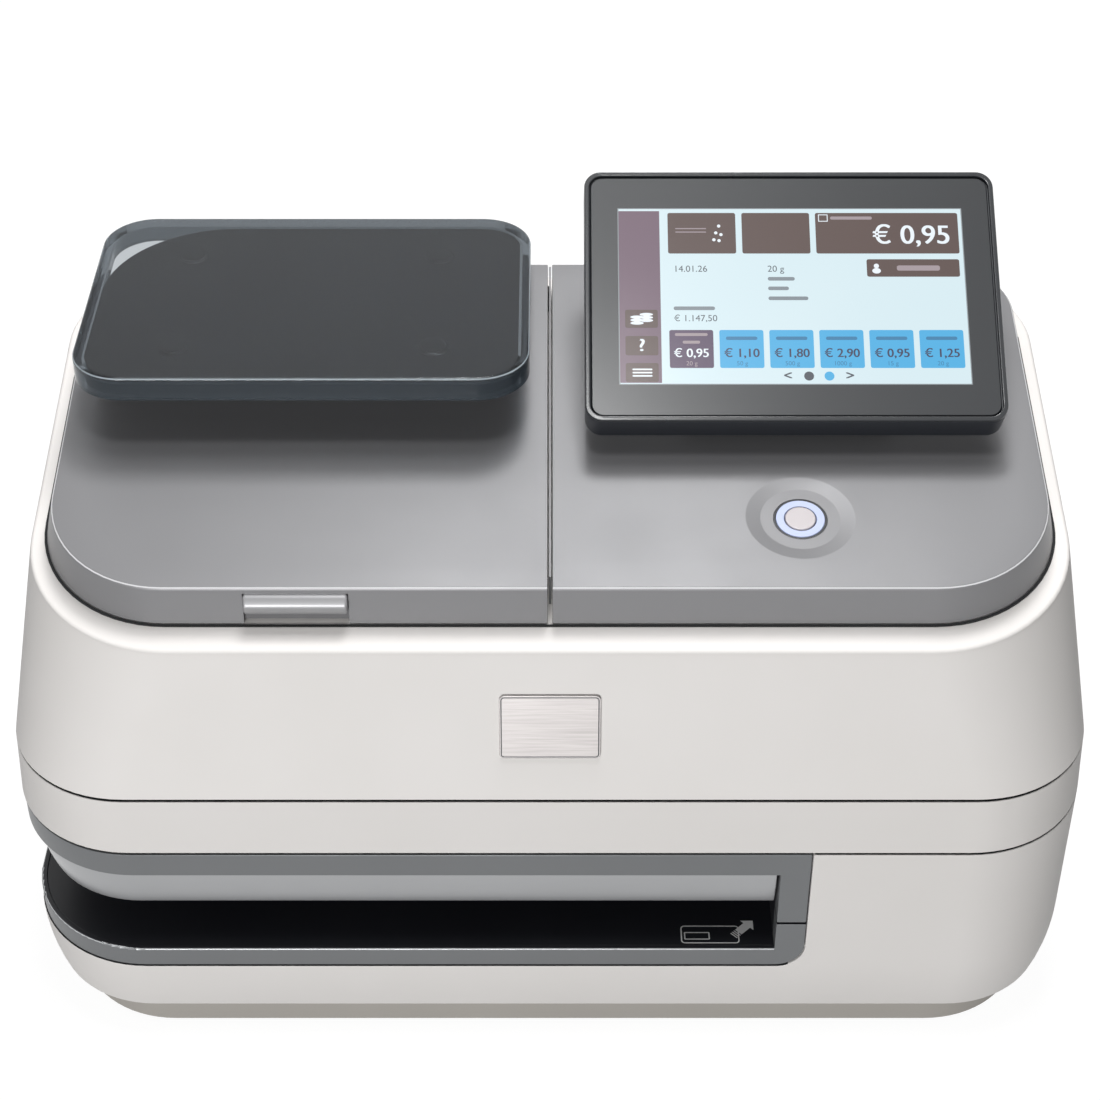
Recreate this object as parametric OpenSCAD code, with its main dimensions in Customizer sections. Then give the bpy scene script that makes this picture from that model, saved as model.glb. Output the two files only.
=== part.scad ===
// Desktop postage meter: a letter slot cut into the front left corner, a print unit that travels over it,
// a hinged left cover that carries the scale, and a right cover with the key and the display.
// Millimetres, X to the right, Y to the back, Z up. The origin is on the desk under the middle of the body.

/* [Body] */
// Width of the body at its widest
body_w = 377; // [367:1:395]
// Depth of the body
body_d = 212; // [208:1:226]
// Radius of the upright corners
corner_r = 44; // [40:1:50]
// Thickness of the casing walls
wall = 2.8; // [2:0.1:3.2]
// Height of the feet under the tray
foot_h = 2; // [1:0.5:4]
// Radius of one foot
foot_r = 9; // [6:0.5:12]
// Distance of the tray from the front, back and sides of the body
tray_in = 9.5; // [8:0.5:12]
// Top of the tray and lower edge of the base shell
base_z = 17; // [15:0.5:19]
// Height at which the base shell reaches its full width
flare_z = 42; // [36:0.5:46]
// How far the lower edge of the base shell is drawn in
flare_in = 3.7; // [2.5:0.1:5]
// Height of the seam between the base shell and the middle band
lower_seam_z = 98; // [96:0.5:102]
// Height of the seam between the middle band and the upper shell
upper_seam_z = 122; // [118:0.5:126]
// Open width of the two seams
seam_gap = 1; // [0.6:0.1:1.4]
// How far the wall leans in over the middle band
band_in = 1.2; // [0.6:0.1:2]

/* [Letter slot] */
// Right end of the slot, from the right side of the body
slot_end_in = 108.5; // [104:0.5:116]
// Depth of the slot from the front to the fence
slot_depth = 104; // [100:1:108]
// Depth of the slot along the left side
side_mouth = 110.3; // [109.5:0.1:114]
// Top of the letter deck
deck_z = 49.6; // [48:0.1:51]
// Thickness of the letter deck
deck_t = 3.8; // [3:0.1:5]
// Underside of the print guide, which is the ceiling of the slot
guide_z = 72; // [70:0.5:74]
// Thickness of the print guide
guide_t = 3; // [2:0.1:4]
// Width of the trim at the right end of the slot
trim_end_w = 10.5; // [8:0.5:12]
// Depth of the lower trim behind its face
lip_depth = 2; // [1.6:0.1:3]
// Lower edge of the lower trim
lip_z = 41.8; // [40:0.1:44]
// How far the lower trim stands above the deck
lip_rise = 0.3; // [0.2:0.1:0.8]
// Height of the split between the two trims at the right end
split_z = 63; // [60:0.5:66]
// Height of the edge between the bullnose band and the upper trim
band_top_z = 87; // [84:0.5:90]
// How far the upper edge of the bullnose band lies behind the front of the body
bullnose_in = 3; // [2:0.1:4.5]
// How far the lower edge of the bullnose band lies behind the front of the body
nose_in = 6.3; // [5:0.1:7]
// Lower edge of the bullnose band
nose_z = 68.5; // [67:0.5:70]
// How far the face of the upper trim lies behind the front of the body
hood_in = 0.5; // [0.2:0.1:1.5]
// Shadow gap between the upper trim and the lower seam
hood_gap = 0.9; // [0.5:0.1:1.2]
// Depth of the upper trim behind the front of the body
hood_depth = 9; // [8:0.5:11]

/* [Slope and covers] */
// Slope of the top of the body in degrees
slope = 10.5; // [8:0.5:12]
// Height of the shoulder at the front
shoulder_z = 176.5; // [170:0.5:184]
// How far the front shoulder lies behind the front of the body
shoulder_in = 15; // [13:0.5:17]
// How far the rear shoulder lies ahead of the back of the body
shoulder_back = 16; // [14:0.5:18]
// How far the shoulder lies inside the body at the left and right
shoulder_side = 10.5; // [9:0.5:13]
// Plan radius of the front shoulder corners
shoulder_front_r = 52; // [46:1:56]
// Plan radius of the rear shoulder corners
shoulder_rear_r = 35; // [32:1:40]
// Rounding of the shoulder edge
shoulder_edge = 1.5; // [1:0.5:3]
// Height of the covers above the ledge
cover_h = 15; // [14:0.5:16]
// Distance of the covers from the shoulder at the left and right
cover_side = 5.5; // [4.5:0.5:8.5]
// Front edge of the covers along the slope
cover_front = 11.7; // [10:0.1:14]
// Distance of the covers from the rear shoulder
cover_rear = 6.5; // [6:0.1:8]
// Plan radius of the front corners of the covers
cover_front_r = 45; // [36:1:50]
// Plan radius of the rear corners of the covers
cover_rear_r = 28; // [22:1:34]
// How far the cover sides lean in
cover_draft = 3.1; // [2:0.1:3.5]
// Rounding of the upper cover edge
cover_edge = 1.2; // [0.6:0.1:1.6]
// Thickness of the covers
cover_wall = 2.5; // [2:0.1:2.8]
// Open seam between the two covers
cover_split = 1.4; // [1:0.1:2]
// Gap between the covers and the ledge
cover_lift = 0.4; // [0.3:0.05:0.8]
// Width of the finger grip
grip_w = 34.5; // [28:0.5:40]
// Middle of the finger grip, from the middle of the left cover
grip_off = 2.45; // [-4:0.05:16]
// How far the finger grip stands out
grip_out = 1; // [0.4:0.1:1.6]
// Hinge axis of the left cover ahead of the back edge of the covers
hinge_in = 9.6; // [9.1:0.1:10.6]
// Hinge axis of the left cover above the ledge
hinge_z = 6; // [5.5:0.1:6.3]
// Diameter of the hinge pins
hinge_pin_d = 3; // [2.5:0.1:3.5]

/* [Scale] */
// Width of the weighing plate
plate_w = 157; // [145:1:158]
// Depth of the weighing plate
plate_d = 107.5; // [100:0.5:108]
// Distance of the weighing plate from the back of the body
plate_rear = 16.5; // [14.5:0.5:18.5]
// Middle of the weighing plate, from the middle of the left cover
plate_off = 0.75; // [0.25:0.25:2.25]
// Height of the weighing plate above the cover behind the load cell
plate_up = 12.6; // [12.5:0.1:16]
// Height of the skirt of the weighing plate
plate_h = 9.5; // [8.5:0.1:11]
// Corner radius of the weighing plate
plate_r = 18; // [12:1:22]
// Thickness of the weighing plate
plate_t = 3; // [2.5:0.1:3.5]
// Distance of the carrier from the edge of the plate
carrier_in = 3.4; // [3:0.1:5]
// Corner radius at the rear left of the carrier
carrier_r = 44; // [20:1:50]

/* [Key] */
// Middle of the key, from the middle of the right cover
key_off = -1.95; // [-8:0.05:6]
// Middle of the key along the slope
key_y = 46.2; // [41:0.1:50]
// Radius of the dimple round the key
dimple_r = 18.4; // [15:0.2:20]
// Radius of the flat floor of the dimple
dimple_floor_r = 13.5; // [12.5:0.1:14.5]
// Depth of the dimple
dimple_depth = 1.2; // [0.8:0.1:1.6]
// Outer radius of the key bezel
bezel_r = 9.2; // [8.5:0.1:10]
// Radius of the moving key
key_r = 5.2; // [4.5:0.1:5.6]
// Travel of the key
key_travel = 1.2; // [0.8:0.1:1.5]

/* [Display] */
// Width of the display
display_w = 144; // [136:1:150]
// Length of the display along its face
display_l = 95.5; // [90:0.5:100]
// Thickness of the display
display_t = 16; // [14:0.5:16]
// Tilt of the display from the level in degrees
display_tilt = 32; // [29:0.5:33]
// Middle of the display, from the middle of the right cover
display_off = -2.25; // [-4:0.25:4]
// Lower edge of the display face behind the front of the body
display_y = 82.7; // [80:0.1:85]
// Lower edge of the display face above the desk
display_z = 221.8; // [221:0.1:226]
// Corner radius of the display
display_r = 6; // [4:0.5:10]
// Width of the screen
screen_w = 120; // [110:1:128]
// Height of the screen along the face
screen_h = 67; // [62:1:72]
// Lower edge of the screen along the face
screen_y = 14; // [10:0.5:16]

/* [Print unit] */
// Middle of the carriage at rest, from the right side of the body
park_in = 63.5; // [62.5:0.5:68.5]
// Diameter of the carriage rods
rod_d = 8; // [6:0.5:9]
// Front rod behind the front of the body
front_rod_y = 38; // [36:0.5:40]
// Rear rod behind the front of the body
rear_rod_y = 116; // [115:0.5:117]
// Height of the rods
rod_z = 98; // [96:0.5:100]
// Width of the carriage
carriage_w = 66; // [62:1:70]
// Height of one ink cartridge
cartridge_h = 59; // [52:1:60]
// Width of one ink cartridge
cartridge_w = 27; // [24:0.5:28]
// Radius of the belt pulleys
pulley_r = 7.2; // [6:0.1:8]
// Axis of the drive pulley, from the right side of the body
drive_in = 40.5; // [38.5:0.5:42.5]
// Axis of the idler pulley, from the left side of the body
idler_in = 53.5; // [50.5:0.5:58.5]
// Width of the belt
belt_w = 6; // [5:0.5:6.5]
// Thickness of the belt
belt_t = 1.6; // [1.2:0.1:2]
// Diameter of the lift plunger
plunger_d = 10; // [8:0.5:12]

/* [Clearances] */
// Radial clearance of a running fit
run_fit = 0.05; // [0.03:0.01:0.08]
// Radial clearance of a pin that is held fast
hold_fit = 0.02; // [0.01:0.01:0.04]
// Gap between pieces that pass each other
pass_gap = 0.4; // [0.3:0.05:0.6]
// Gap between a piece and the seat that it stops on
seat_gap = 0.3; // [0.2:0.05:0.5]

/* [Hidden] */
$fn = 96;
// Facets round the rounded corners of the lofted casings
loft_fn = 48;
// Thickness of the sections that a casing is lofted between
film = 1;
// Overshoot of a cut through a face
cut = 1;
front = -body_d / 2;
half_w = body_w / 2;
shoulder_w = body_w - 2 * shoulder_side;
cover_w = shoulder_w - 2 * cover_side;
cover_mid = cover_w / 4;
slot_end_x = half_w - slot_end_in;
// Radius of the arc that draws the foot of the base shell in
flare_r = (pow(flare_z - base_z, 2) + pow(flare_in, 2)) / (2 * flare_in);
tongue_t = 1.4;
tongue_gap = 0.5;
tray_t = 3;
tray_r = corner_r - 4;
tray_floor_z = foot_h + tray_t;
slope_len = (body_d - shoulder_in - shoulder_back) / cos(slope);
cover_back = slope_len - cover_rear;
hinge_y = cover_back - hinge_in;
grip_x = grip_off - cover_mid;
key_x = cover_mid + key_off;
display_x = cover_mid + display_off;
plate_x = plate_off - cover_mid;
plate_front = body_d - plate_rear - plate_d;
park_x = half_w - park_in;
drive_x = half_w - drive_in;
idler_x = idler_in - half_w;
lip_in = 0.5;
lip_round = 0.8;
deck_in = 6.5;
split_gap = 0.8;
nose_steps = 12;
lip_top_z = deck_z + lip_rise;
slot_right = slot_end_x + trim_end_w;
fence_t = 3;
inner_depth = slot_depth + 26;
guide_top_z = guide_z + guide_t;
cover_top_in = cover_draft + cover_edge;
grip_top = cover_h - cover_wall;
cell_y = plate_front + 36.5;
cell_h = 10.5;
cell_d = 13;
plate_z = cover_top_z(cell_y + cell_d / 2 + 1) + plate_up;
cell_z = plate_z - cell_h - 1;
pedestal_top = plate_z;
carrier_z = plate_z + 1;
carrier_t = 4.5;
pad_h = plate_h - plate_t - 1 - carrier_t;
cell_l = 80;
cell_fixed_l = 25;
carrier_pin_r = 3;
carrier_pin_x = plate_x + cell_l / 2 - 10;
badge_w = 33;
badge_h = 24;
badge_t = 0.8;
badge_up = 29.5;
badge_off = 0.05;
bay_rim_side = 16;
bay_rim_seam = 12;
bay_rim_front = 12;
trough_gap = pass_gap + 0.2;
hinge_lug_r = 4;
hinge_lug_w = 8;
hinge_lug_x = [32.5 - cover_w / 2, -30];
hinge_bar_z = -9;
hinge_bar_t = 3;
bezel_h = 9;
bezel_floor = 1.5;
key_stem_r = 3;
key_stem_h = 11;
display_pin_r = 2;
display_axis = [20, -display_t - 5];
knuckle_r = 4.2;
knuckle_w = 60;
stand_ear_w = 6;
rim_h = 1.5;
rim_w = 1.8;
frame_y = 150;
frame_t = 2;
frame_top = rod_z + 27;
left_plate_x = 38.5 - half_w;
right_plate_x = half_w - 28.5;
plate_front_y = 31;
floor_z = guide_top_z + 3;
floor_t = 3;
nozzle_z = guide_top_z + 2;
nozzle_w = 14;
nozzle_d = 16;
cartridge_x = 15.5;
cradle_y = [46, 108];
cartridge_top = floor_z + floor_t + cartridge_h;
latch_axis = [rear_rod_y - 4, cartridge_top - 4];
latch_pin_r = 2;
latch_hub_r = 4.3;
latch_arm_t = 4;
latch_tip_y = 56;
ear_t = 2;
belt_z = rod_z - 6;
belt_y = 129;
motor_r = 18;
motor_shaft_r = 2.5;
idler_pin_r = 2.5;
window_l = 136;
window_d = 42;
window_y = 75;
window_x = slot_end_x - 8 - window_l / 2;
press_x = window_x;
press_y = window_y - 2;
press_w = window_l - 4;
press_d = window_d + 4;
press_t = 3.5;
press_r = 4;
press_rib = 4;
guide_pin_r = 2.5;
guide_pin_gap = 54;
sleeve_floor = 9;
sleeve_r = 6;
sleeve_h = 34;
bobbin_r = 16;
lever_axis = [slot_end_x - 24, slot_depth + 8];
lever_pin_r = 2;
lever_arm = 18;
lever_w = 4;
lever_h = 10;
lever_up = 5.5;
lever_reach = 14;
switch_h = 15;
inlet_x = 72.5 - half_w;
inlet_z = 62;
inlet_w = 28;
inlet_h = 20;
ports_x = half_w - 77.5;
ports_w = 38;
ports_h = 16;
socket_wall = 2.5;
socket_depth = 16;
socket_floor = 4;
port_depth = 14;
net_w = 14;
net_h = 11;
usb_w = 12;
usb_h = 5;
pin_gap = 7;
pin_t = 2;
pedestal_w = 130;
pedestal_d = 68;
pedestal_r = 9;
pad_r = 5;
pad_x = 45;
pad_in = 20;
deck_leg_r = 5;
station_w = 54;
station_d = 54;
station_y = 77;
cap_lip = 2;
wiper_w = 34;
wiper_t = 1.5;
holder_t = 6;
holder_h = 8;
board_w = 135;
board_h = 88;
board_t = 1.6;
board_z = 30;
board_gap = 5;
post_r = 3;
post_in = 8;
chip_w = 28;
chip_t = 2.4;
coil_r = 5;
coil_h = 13.4;
supply_w = 64;
supply_d = 66;
supply_h = 36;
supply_wall = 1.5;
supply_x = left_plate_x + deck_leg_r + 3;
supply_y = 52;
vent_w = 2.5;
vent_pitch = 7;
vent_count = 8;
flange_w = 10;
foot_w = 14;
frame_hole_r = 6;
frame_hole_w = 42;
frame_hole_z = 50;
rib_t = 1.6;
rib_h = 4;
motor_l = 31;
motor_cap_r = 12;
motor_cap_l = 3;
motor_ear = 7;
tooth_count = 20;
tooth_r = 0.55;

// Distance behind the front of the body, as a Y coordinate
function behind(distance) = front + distance;

// Height of the top of the covers at a distance behind the front of the body
function cover_top_z(y) =
  shoulder_z + (y - shoulder_in + cover_h * sin(slope)) * tan(slope) + cover_h * cos(slope);

// Frame on the sloped ledge: y runs back along the slope from the front shoulder, z stands on it
module on_slope() translate([0, behind(shoulder_in), shoulder_z]) rotate([slope, 0, 0]) children();

// Frame on the display face: y runs up the face from its lower edge, z points out of the face
module on_display()
  translate([display_x, behind(display_y), display_z]) rotate([display_tilt, 0, 0]) children();

// Box between two corners
module block(from, to) translate(from) cube(to - from);

// Round bar along X between two places
module bar_x(x0, x1, y, z, r) translate([x0, y, z]) rotate([0, 90, 0]) cylinder(r = r, h = x1 - x0);

// Round bar along Y between two places
module bar_y(x, y0, y1, z, r) translate([x, y0, z]) rotate([-90, 0, 0]) cylinder(r = r, h = y1 - y0);

// Flat rounded rectangle, centred on X
module plan(w, y0, y1, r) {
  translate([-w / 2 + r, y0]) square([w - 2 * r, y1 - y0]);
  translate([-w / 2, y0 + r]) square([w, y1 - y0 - 2 * r]);
  for (x = [r - w / 2, w / 2 - r], y = [y0 + r, y1 - r]) translate([x, y]) circle(r);
}

// Row of upright slits through a wall, along X from a first place
module slits(x, y0, y1, z0, z1) for (k = [0 : vent_count - 1])
  block([x + k * vent_pitch, y0, z0], [x + k * vent_pitch + vent_w, y1, z1]);

// Window with rounded corners through a sheet that stands across Y
module upright_window_y(x, y, w, z0, z1) translate([x, behind(y) + frame_t + cut, 0]) rotate([90, 0, 0])
  linear_extrude(frame_t + 2 * cut) plan(w, z0, z1, frame_hole_r);

// Window with rounded corners through a sheet that stands across X
module upright_window_x(x, y, w, z0, z1) translate([x - cut, behind(y), 0]) rotate([90, 0, 90])
  linear_extrude(frame_t + 2 * cut) plan(w, z0, z1, frame_hole_r);

// Carries a side profile along X; its x is the distance behind the front of the body
module profile_x(x0, x1) translate([x0, front, 0]) rotate([90, 0, 90]) linear_extrude(x1 - x0) children();

// Carries a wall section round a rounded rectangle; section x = 0 is the outer face
module ring(w, d, r) {
  half = [w / 2, d / 2];
  for (k = [0 : 3]) rotate(90 * k) {
    run = half[k % 2] - r;
    out = half[(k + 1) % 2];
    translate([run, -out, 0]) rotate([90, 0, -90]) linear_extrude(2 * run) children();
    translate([run, r - out, 0]) rotate(-90) rotate_extrude(angle = 90) translate([r, 0]) children();
  }
}

// Carries a trim section along the left side of the slot, round the corner and along the front
module slot_run(x_end, y_end) {
  corner = [corner_r - half_w, front + corner_r];
  translate([x_end, front, 0]) rotate([90, 0, -90]) linear_extrude(x_end - corner.x) children();
  translate([corner.x, corner.y, 0]) rotate(180)
    rotate_extrude(angle = 90) translate([corner_r, 0]) children();
  translate([-half_w, corner.y, 0]) rotate([90, 0, 180]) linear_extrude(y_end - corner.y) children();
}

// Plan of what lies inside the slot, set in from the outer face, up to a right end and a depth
module slot_plan(inset, x_end, depth) intersection() {
  plan(body_w - 2 * inset, front + inset, -front - inset, corner_r - inset);
  translate([-half_w, front]) square([half_w + x_end, depth]);
}

// Corner discs that a casing is lofted between
module discs(w, y0, y1, r_front, r_rear) for (side = [-1, 1]) {
  translate([side * (w / 2 - r_front), y0 + r_front, 0]) cylinder(r = r_front, h = film, $fn = loft_fn);
  translate([side * (w / 2 - r_rear), y1 - r_rear, 0]) cylinder(r = r_rear, h = film, $fn = loft_fn);
}

// Inset bottom tray that carries everything, with vent slits in its floor
module bottom_tray() color("#b9b6b1") difference() {
  inner = tray_in + tray_t;
  translate([0, 0, foot_h]) linear_extrude(base_z - foot_h)
    plan(body_w - 2 * tray_in, front + tray_in, -front - tray_in, tray_r);
  translate([0, 0, tray_floor_z]) linear_extrude(base_z)
    plan(body_w - 2 * inner, front + inner, -front - inner, tray_r - tray_t);
  slits(supply_x + vent_pitch / 2, behind(supply_y) + supply_d / 4, behind(supply_y) + supply_d * 3 / 4,
    foot_h - cut, tray_floor_z + cut);
}

// Four feet under the tray
module rubber_feet() color("#202224") for (x = [-1, 1], y = [-1, 1])
  translate([x * (half_w - tray_in - 30), y * (body_d / 2 - tray_in - 24), 0])
    cylinder(r1 = foot_r - 0.6, r2 = foot_r, h = foot_h);

// Wall section of the base shell: drawn in foot, upright wall, flange on the tray and tongue into the band
module base_section() {
  difference() {
    intersection() {
      translate([-flare_r, flare_z]) circle(flare_r, $fn = 180);
      translate([-flare_in - wall - cut, base_z]) square([flare_in + wall + cut, flare_z - base_z]);
    }
    translate([-flare_r, flare_z]) circle(flare_r - wall, $fn = 180);
  }
  translate([-wall, flare_z]) square([wall, lower_seam_z - seam_gap / 2 - flare_z]);
  translate([-tray_in - tray_t, base_z]) square([tray_in + tray_t - flare_in - wall / 2, wall]);
  translate([-wall - tongue_t - tongue_gap, lower_seam_z - 8]) square([tongue_t, 13]);
  translate([-wall - tongue_t - tongue_gap, lower_seam_z - 8]) square([tongue_t + 2 * tongue_gap, 5]);
}

// Lower casing with the letter slot, and the sockets and vent slits in its back
module base_shell() color("#dedbd8") difference() {
  ring(body_w, body_d, corner_r) base_section();
  slot_cut();
  rear_cut(inlet_x, inlet_w, inlet_h);
  rear_cut(ports_x, ports_w, ports_h);
  slits(inlet_x + inlet_w, -front - 2 * wall, -front + cut, inlet_z - inlet_h / 2, inlet_z + inlet_h / 2);
}

// Opening of the slot and its trim in the casing, with a rounded lower right corner
module slot_cut() {
  corner = 10;
  right = slot_right + 0.3;
  block([-half_w - cut, front - cut, lip_z - 0.3], [right - corner, front + wall + 3, lower_seam_z + 6]);
  block([right - corner - cut, front - cut, lip_z + corner], [right, front + wall + 3, lower_seam_z + 6]);
  bar_y(right - corner, front - cut, front + wall + 3, lip_z - 0.3 + corner, corner);
  block([-half_w - cut, front - cut, lip_z - 0.3],
    [corner_r - half_w, behind(side_mouth), lower_seam_z + 6]);
}

// Cut-out in the back wall for a socket
module rear_cut(x, w, h) block(
  [x - w / 2 - 0.2, -front - wall - 3, inlet_z - h / 2 - 0.2],
  [x + w / 2 + 0.2, -front + cut, inlet_z + h / 2 + 0.2]);

// Black bed that the letter lies on, on four legs, with the window of the pressure plate
module letter_deck() color("#17181b") {
  difference() {
    translate([0, 0, deck_z - deck_t]) linear_extrude(deck_t)
      union() {
        slot_plan(lip_in + lip_depth, slot_end_x + 6, side_mouth - seat_gap);
        slot_plan(deck_in, slot_end_x + 6, inner_depth);
      }
    block([slot_end_x, front, 0], [slot_right, behind(hood_depth), deck_z + cut]);
    translate([press_x, behind(press_y), 0]) linear_extrude(deck_z + cut)
      plan(press_w + 2 * pass_gap, -press_d / 2 - pass_gap, press_d / 2 + pass_gap, press_r + pass_gap);
  }
  for (x = [left_plate_x, slot_end_x - 2], y = [40, inner_depth - 10])
    translate([x, behind(y), tray_floor_z]) cylinder(r = deck_leg_r, h = deck_z - deck_t - tray_floor_z);
}

// Section of the lower trim with its rounded upper edge
module lip_section() {
  translate([-lip_in - lip_depth, lip_z]) square([lip_depth - lip_round, lip_top_z - lip_z]);
  translate([-lip_in - lip_depth, lip_z]) square([lip_depth, lip_top_z - lip_z - lip_round]);
  translate([-lip_in - lip_round, lip_top_z - lip_round]) circle(lip_round);
}

// Lower trim of the slot, which turns up at the right end
module deck_lip() color("#7e8083") {
  corner = 10;
  slot_run(slot_end_x, behind(side_mouth - seat_gap)) lip_section();
  difference() {
    block([slot_end_x, front + lip_in, lip_z],
      [slot_right, behind(hood_depth), split_z - split_gap / 2]);
    difference() {
      block([slot_right - corner, front - cut, lip_z - cut], [slot_right + cut, 0, lip_z + corner]);
      bar_y(slot_right - corner, front - cut, 0, lip_z + corner, corner);
    }
  }
}

// Section of the bullnose band over the mouth, whose face curves back to its lower edge
module bullnose_section() polygon(concat(
  [[-hood_depth, nose_z], [-hood_depth, band_top_z]],
  [for (k = [0 : nose_steps]) [
    -bullnose_in - (nose_in - bullnose_in) * pow(k / nose_steps, 2),
    band_top_z - (band_top_z - nose_z) * k / nose_steps]]));

// Silver bullnose band along the mouth of the slot
module slot_band() color("#a9aaac")
  slot_run(slot_end_x - 0.8, behind(side_mouth - seat_gap)) bullnose_section();

// Dark upper trim of the slot, which turns down at the right end
module slot_lip() color("#6a6c6e") {
  top = lower_seam_z - hood_gap;
  slot_run(slot_end_x, behind(side_mouth - seat_gap))
    translate([-hood_depth, band_top_z]) square([hood_depth - hood_in, top - band_top_z]);
  block([slot_end_x, behind(hood_in), split_z + split_gap / 2], [slot_right, behind(hood_depth), top]);
}

// Section of the middle band with its tongue into the upper shell
module band_section() {
  z0 = lower_seam_z + seam_gap / 2;
  z1 = upper_seam_z - seam_gap / 2;
  polygon([[0, z0], [-band_in, z1], [-band_in - wall, z1], [-wall, z0]]);
  inner = -band_in - wall - tongue_t - 4 * tongue_gap;
  translate([inner, z1 - 6]) square([tongue_t, 8]);
  translate([inner, z1 - 6]) square([tongue_t + 5 * tongue_gap, 4]);
}

// Ring between the two seams
module middle_band() color("#dedbd8") ring(body_w, body_d, corner_r) band_section();

// Lofted form of the upper casing, from the level seam to the sloped shoulder
module shell_form(inset) hull() {
  edge = shoulder_edge + inset;
  translate([0, 0, upper_seam_z + seam_gap / 2 - 5 * inset / wall])
    discs(body_w - 2 * (band_in + inset), front + band_in + inset, -front - band_in - inset,
      corner_r - band_in - inset, corner_r - band_in - inset);
  on_slope() translate([0, 0, -edge])
    discs(shoulder_w - 2 * inset, inset, slope_len - inset,
      shoulder_front_r - inset, shoulder_rear_r - inset);
  on_slope() translate([0, 0, -inset - film])
    discs(shoulder_w - 2 * edge, edge, slope_len - edge,
      shoulder_front_r - edge, shoulder_rear_r - edge);
}

// Upper casing with the opening of the ink bay, the hole of the key and the two hinge lugs
module upper_shell() color("#dedbd8") {
  difference() {
    shell_form(0);
    shell_form(wall);
    on_slope() translate([0, 0, -2 * wall - cut]) linear_extrude(3 * wall + 2 * cut) bay_outline();
    on_slope() translate([key_x, key_y, -2 * wall]) cylinder(r = bezel_r + 5, h = 4 * wall);
  }
  on_slope() for (x = hinge_lug_x) shell_lug(x - hinge_lug_w / 2, x + hinge_lug_w / 2);
}

// Opening of the ink bay: its mouth, and the trough that the rear edge of the left cover dips into
module bay_outline() {
  mouth_w = shoulder_w / 2 - bay_rim_side - bay_rim_seam;
  translate([-bay_rim_seam - mouth_w / 2, 0]) plan(mouth_w, cover_front + bay_rim_front, hinge_y, 8);
  intersection() {
    plan(cover_w + 2 * trough_gap, cover_front, cover_back + trough_gap, cover_rear_r + trough_gap);
    translate([-half_w, hinge_y - hinge_lug_r]) square([half_w, body_d]);
  }
}

// Lug of the upper casing that holds one hinge pin, on a bar from the rear wall
module shell_lug(x0, x1) difference() {
  union() {
    block([x0, hinge_y - hinge_lug_r, hinge_bar_z], [x1, hinge_y - 1, hinge_z]);
    block([x0, hinge_y - hinge_lug_r, hinge_bar_z],
      [x1, slope_len - wall / 2, hinge_bar_z + hinge_bar_t]);
    bar_x(x0, x1, hinge_y, hinge_z, hinge_lug_r);
  }
  bar_x(x0 - cut, x1 + cut, hinge_y, hinge_z, hinge_pin_d / 2 + hold_fit);
}

// Bare plate on the front of the upper casing
module badge_plate() color("#c4c6c8") {
  foot = [band_in, upper_seam_z + seam_gap / 2 + film];
  drop = shoulder_edge - film;
  head = [shoulder_in + drop * sin(slope), shoulder_z - drop * cos(slope)];
  lean = atan((head[0] - foot[0]) / (head[1] - foot[1]));
  translate([0, behind(foot[0]), foot[1]]) rotate([-lean, 0, 0]) translate([0, -badge_off, badge_up])
    rotate([90, 0, 0]) linear_extrude(badge_t) plan(badge_w, -badge_h / 2, badge_h / 2, 1.5);
}

// Lofted form of both covers on the slope
module cover_form(inset) on_slope() hull() {
  translate([0, 0, cover_lift - inset / cover_wall]) cover_discs(inset);
  translate([0, 0, cover_h - cover_edge - inset]) cover_discs(cover_draft + inset);
  translate([0, 0, cover_h - film - inset]) cover_discs(cover_top_in + inset);
}

// Corner discs of the covers, set in from the outline at the ledge
module cover_discs(inset)
  discs(cover_w - 2 * inset, cover_front + inset, cover_back - inset,
    cover_front_r - inset, cover_rear_r - inset);

// Half of the space over the ledge, left or right of the cover seam
module half_space(side, gap) on_slope()
  translate([side > 0 ? gap : -half_w - gap, -cut, -cover_h])
    cube([half_w, slope_len + 2 * cut, 3 * cover_h]);

// Hollow cover on one side of the seam
module hollow_cover(side) difference() {
  intersection() {
    cover_form(0);
    half_space(side, cover_split / 2);
  }
  intersection() {
    cover_form(cover_wall);
    half_space(side, cover_split / 2 + cover_wall);
  }
}

// Hinged left cover with the notch of the grip and its hinge lugs
module left_cover() color("#a4a5a7") {
  difference() {
    hollow_cover(-1);
    on_slope() block([grip_x - grip_w / 2 - 0.2, cover_front - cut, -cut],
      [grip_x + grip_w / 2 + 0.2, cover_front + 8, grip_top]);
  }
  on_slope() for (x = hinge_lug_x, side = [-1, 1]) cover_lug(x + side * (hinge_lug_w / 2 + pass_gap), side);
  on_slope() cover_ribs();
}

// Stiffening ribs under the top of the left cover
module cover_ribs() {
  top = cover_h - cover_wall;
  left = bay_rim_side - shoulder_w / 2;
  back = hinge_y - 3 * hinge_lug_r;
  for (k = [1 : 4]) {
    x = left - (left + bay_rim_seam) * k / 5;
    block([x, cover_front + 2 * bay_rim_front, top - rib_h], [x + rib_t, back, top + cover_wall / 2]);
  }
  for (k = [1 : 3]) {
    y = cover_front + (back - cover_front) * k / 4;
    block([left, y, top - rib_h], [-bay_rim_seam, y + rib_t, top + cover_wall / 2]);
  }
}

// Lug of the left cover that turns on a hinge pin
module cover_lug(x, side) {
  lug_w = 4;
  x0 = min(x, x + side * lug_w);
  difference() {
    union() {
      bar_x(x0, x0 + lug_w, hinge_y, hinge_z, hinge_lug_r);
      block([x0, hinge_y - hinge_lug_r, hinge_z], [x0 + lug_w, hinge_y + hinge_lug_r, grip_top + 0.5]);
    }
    bar_x(x0 - cut, x0 + lug_w + cut, hinge_y, hinge_z, hinge_pin_d / 2 + run_fit);
  }
}

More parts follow.
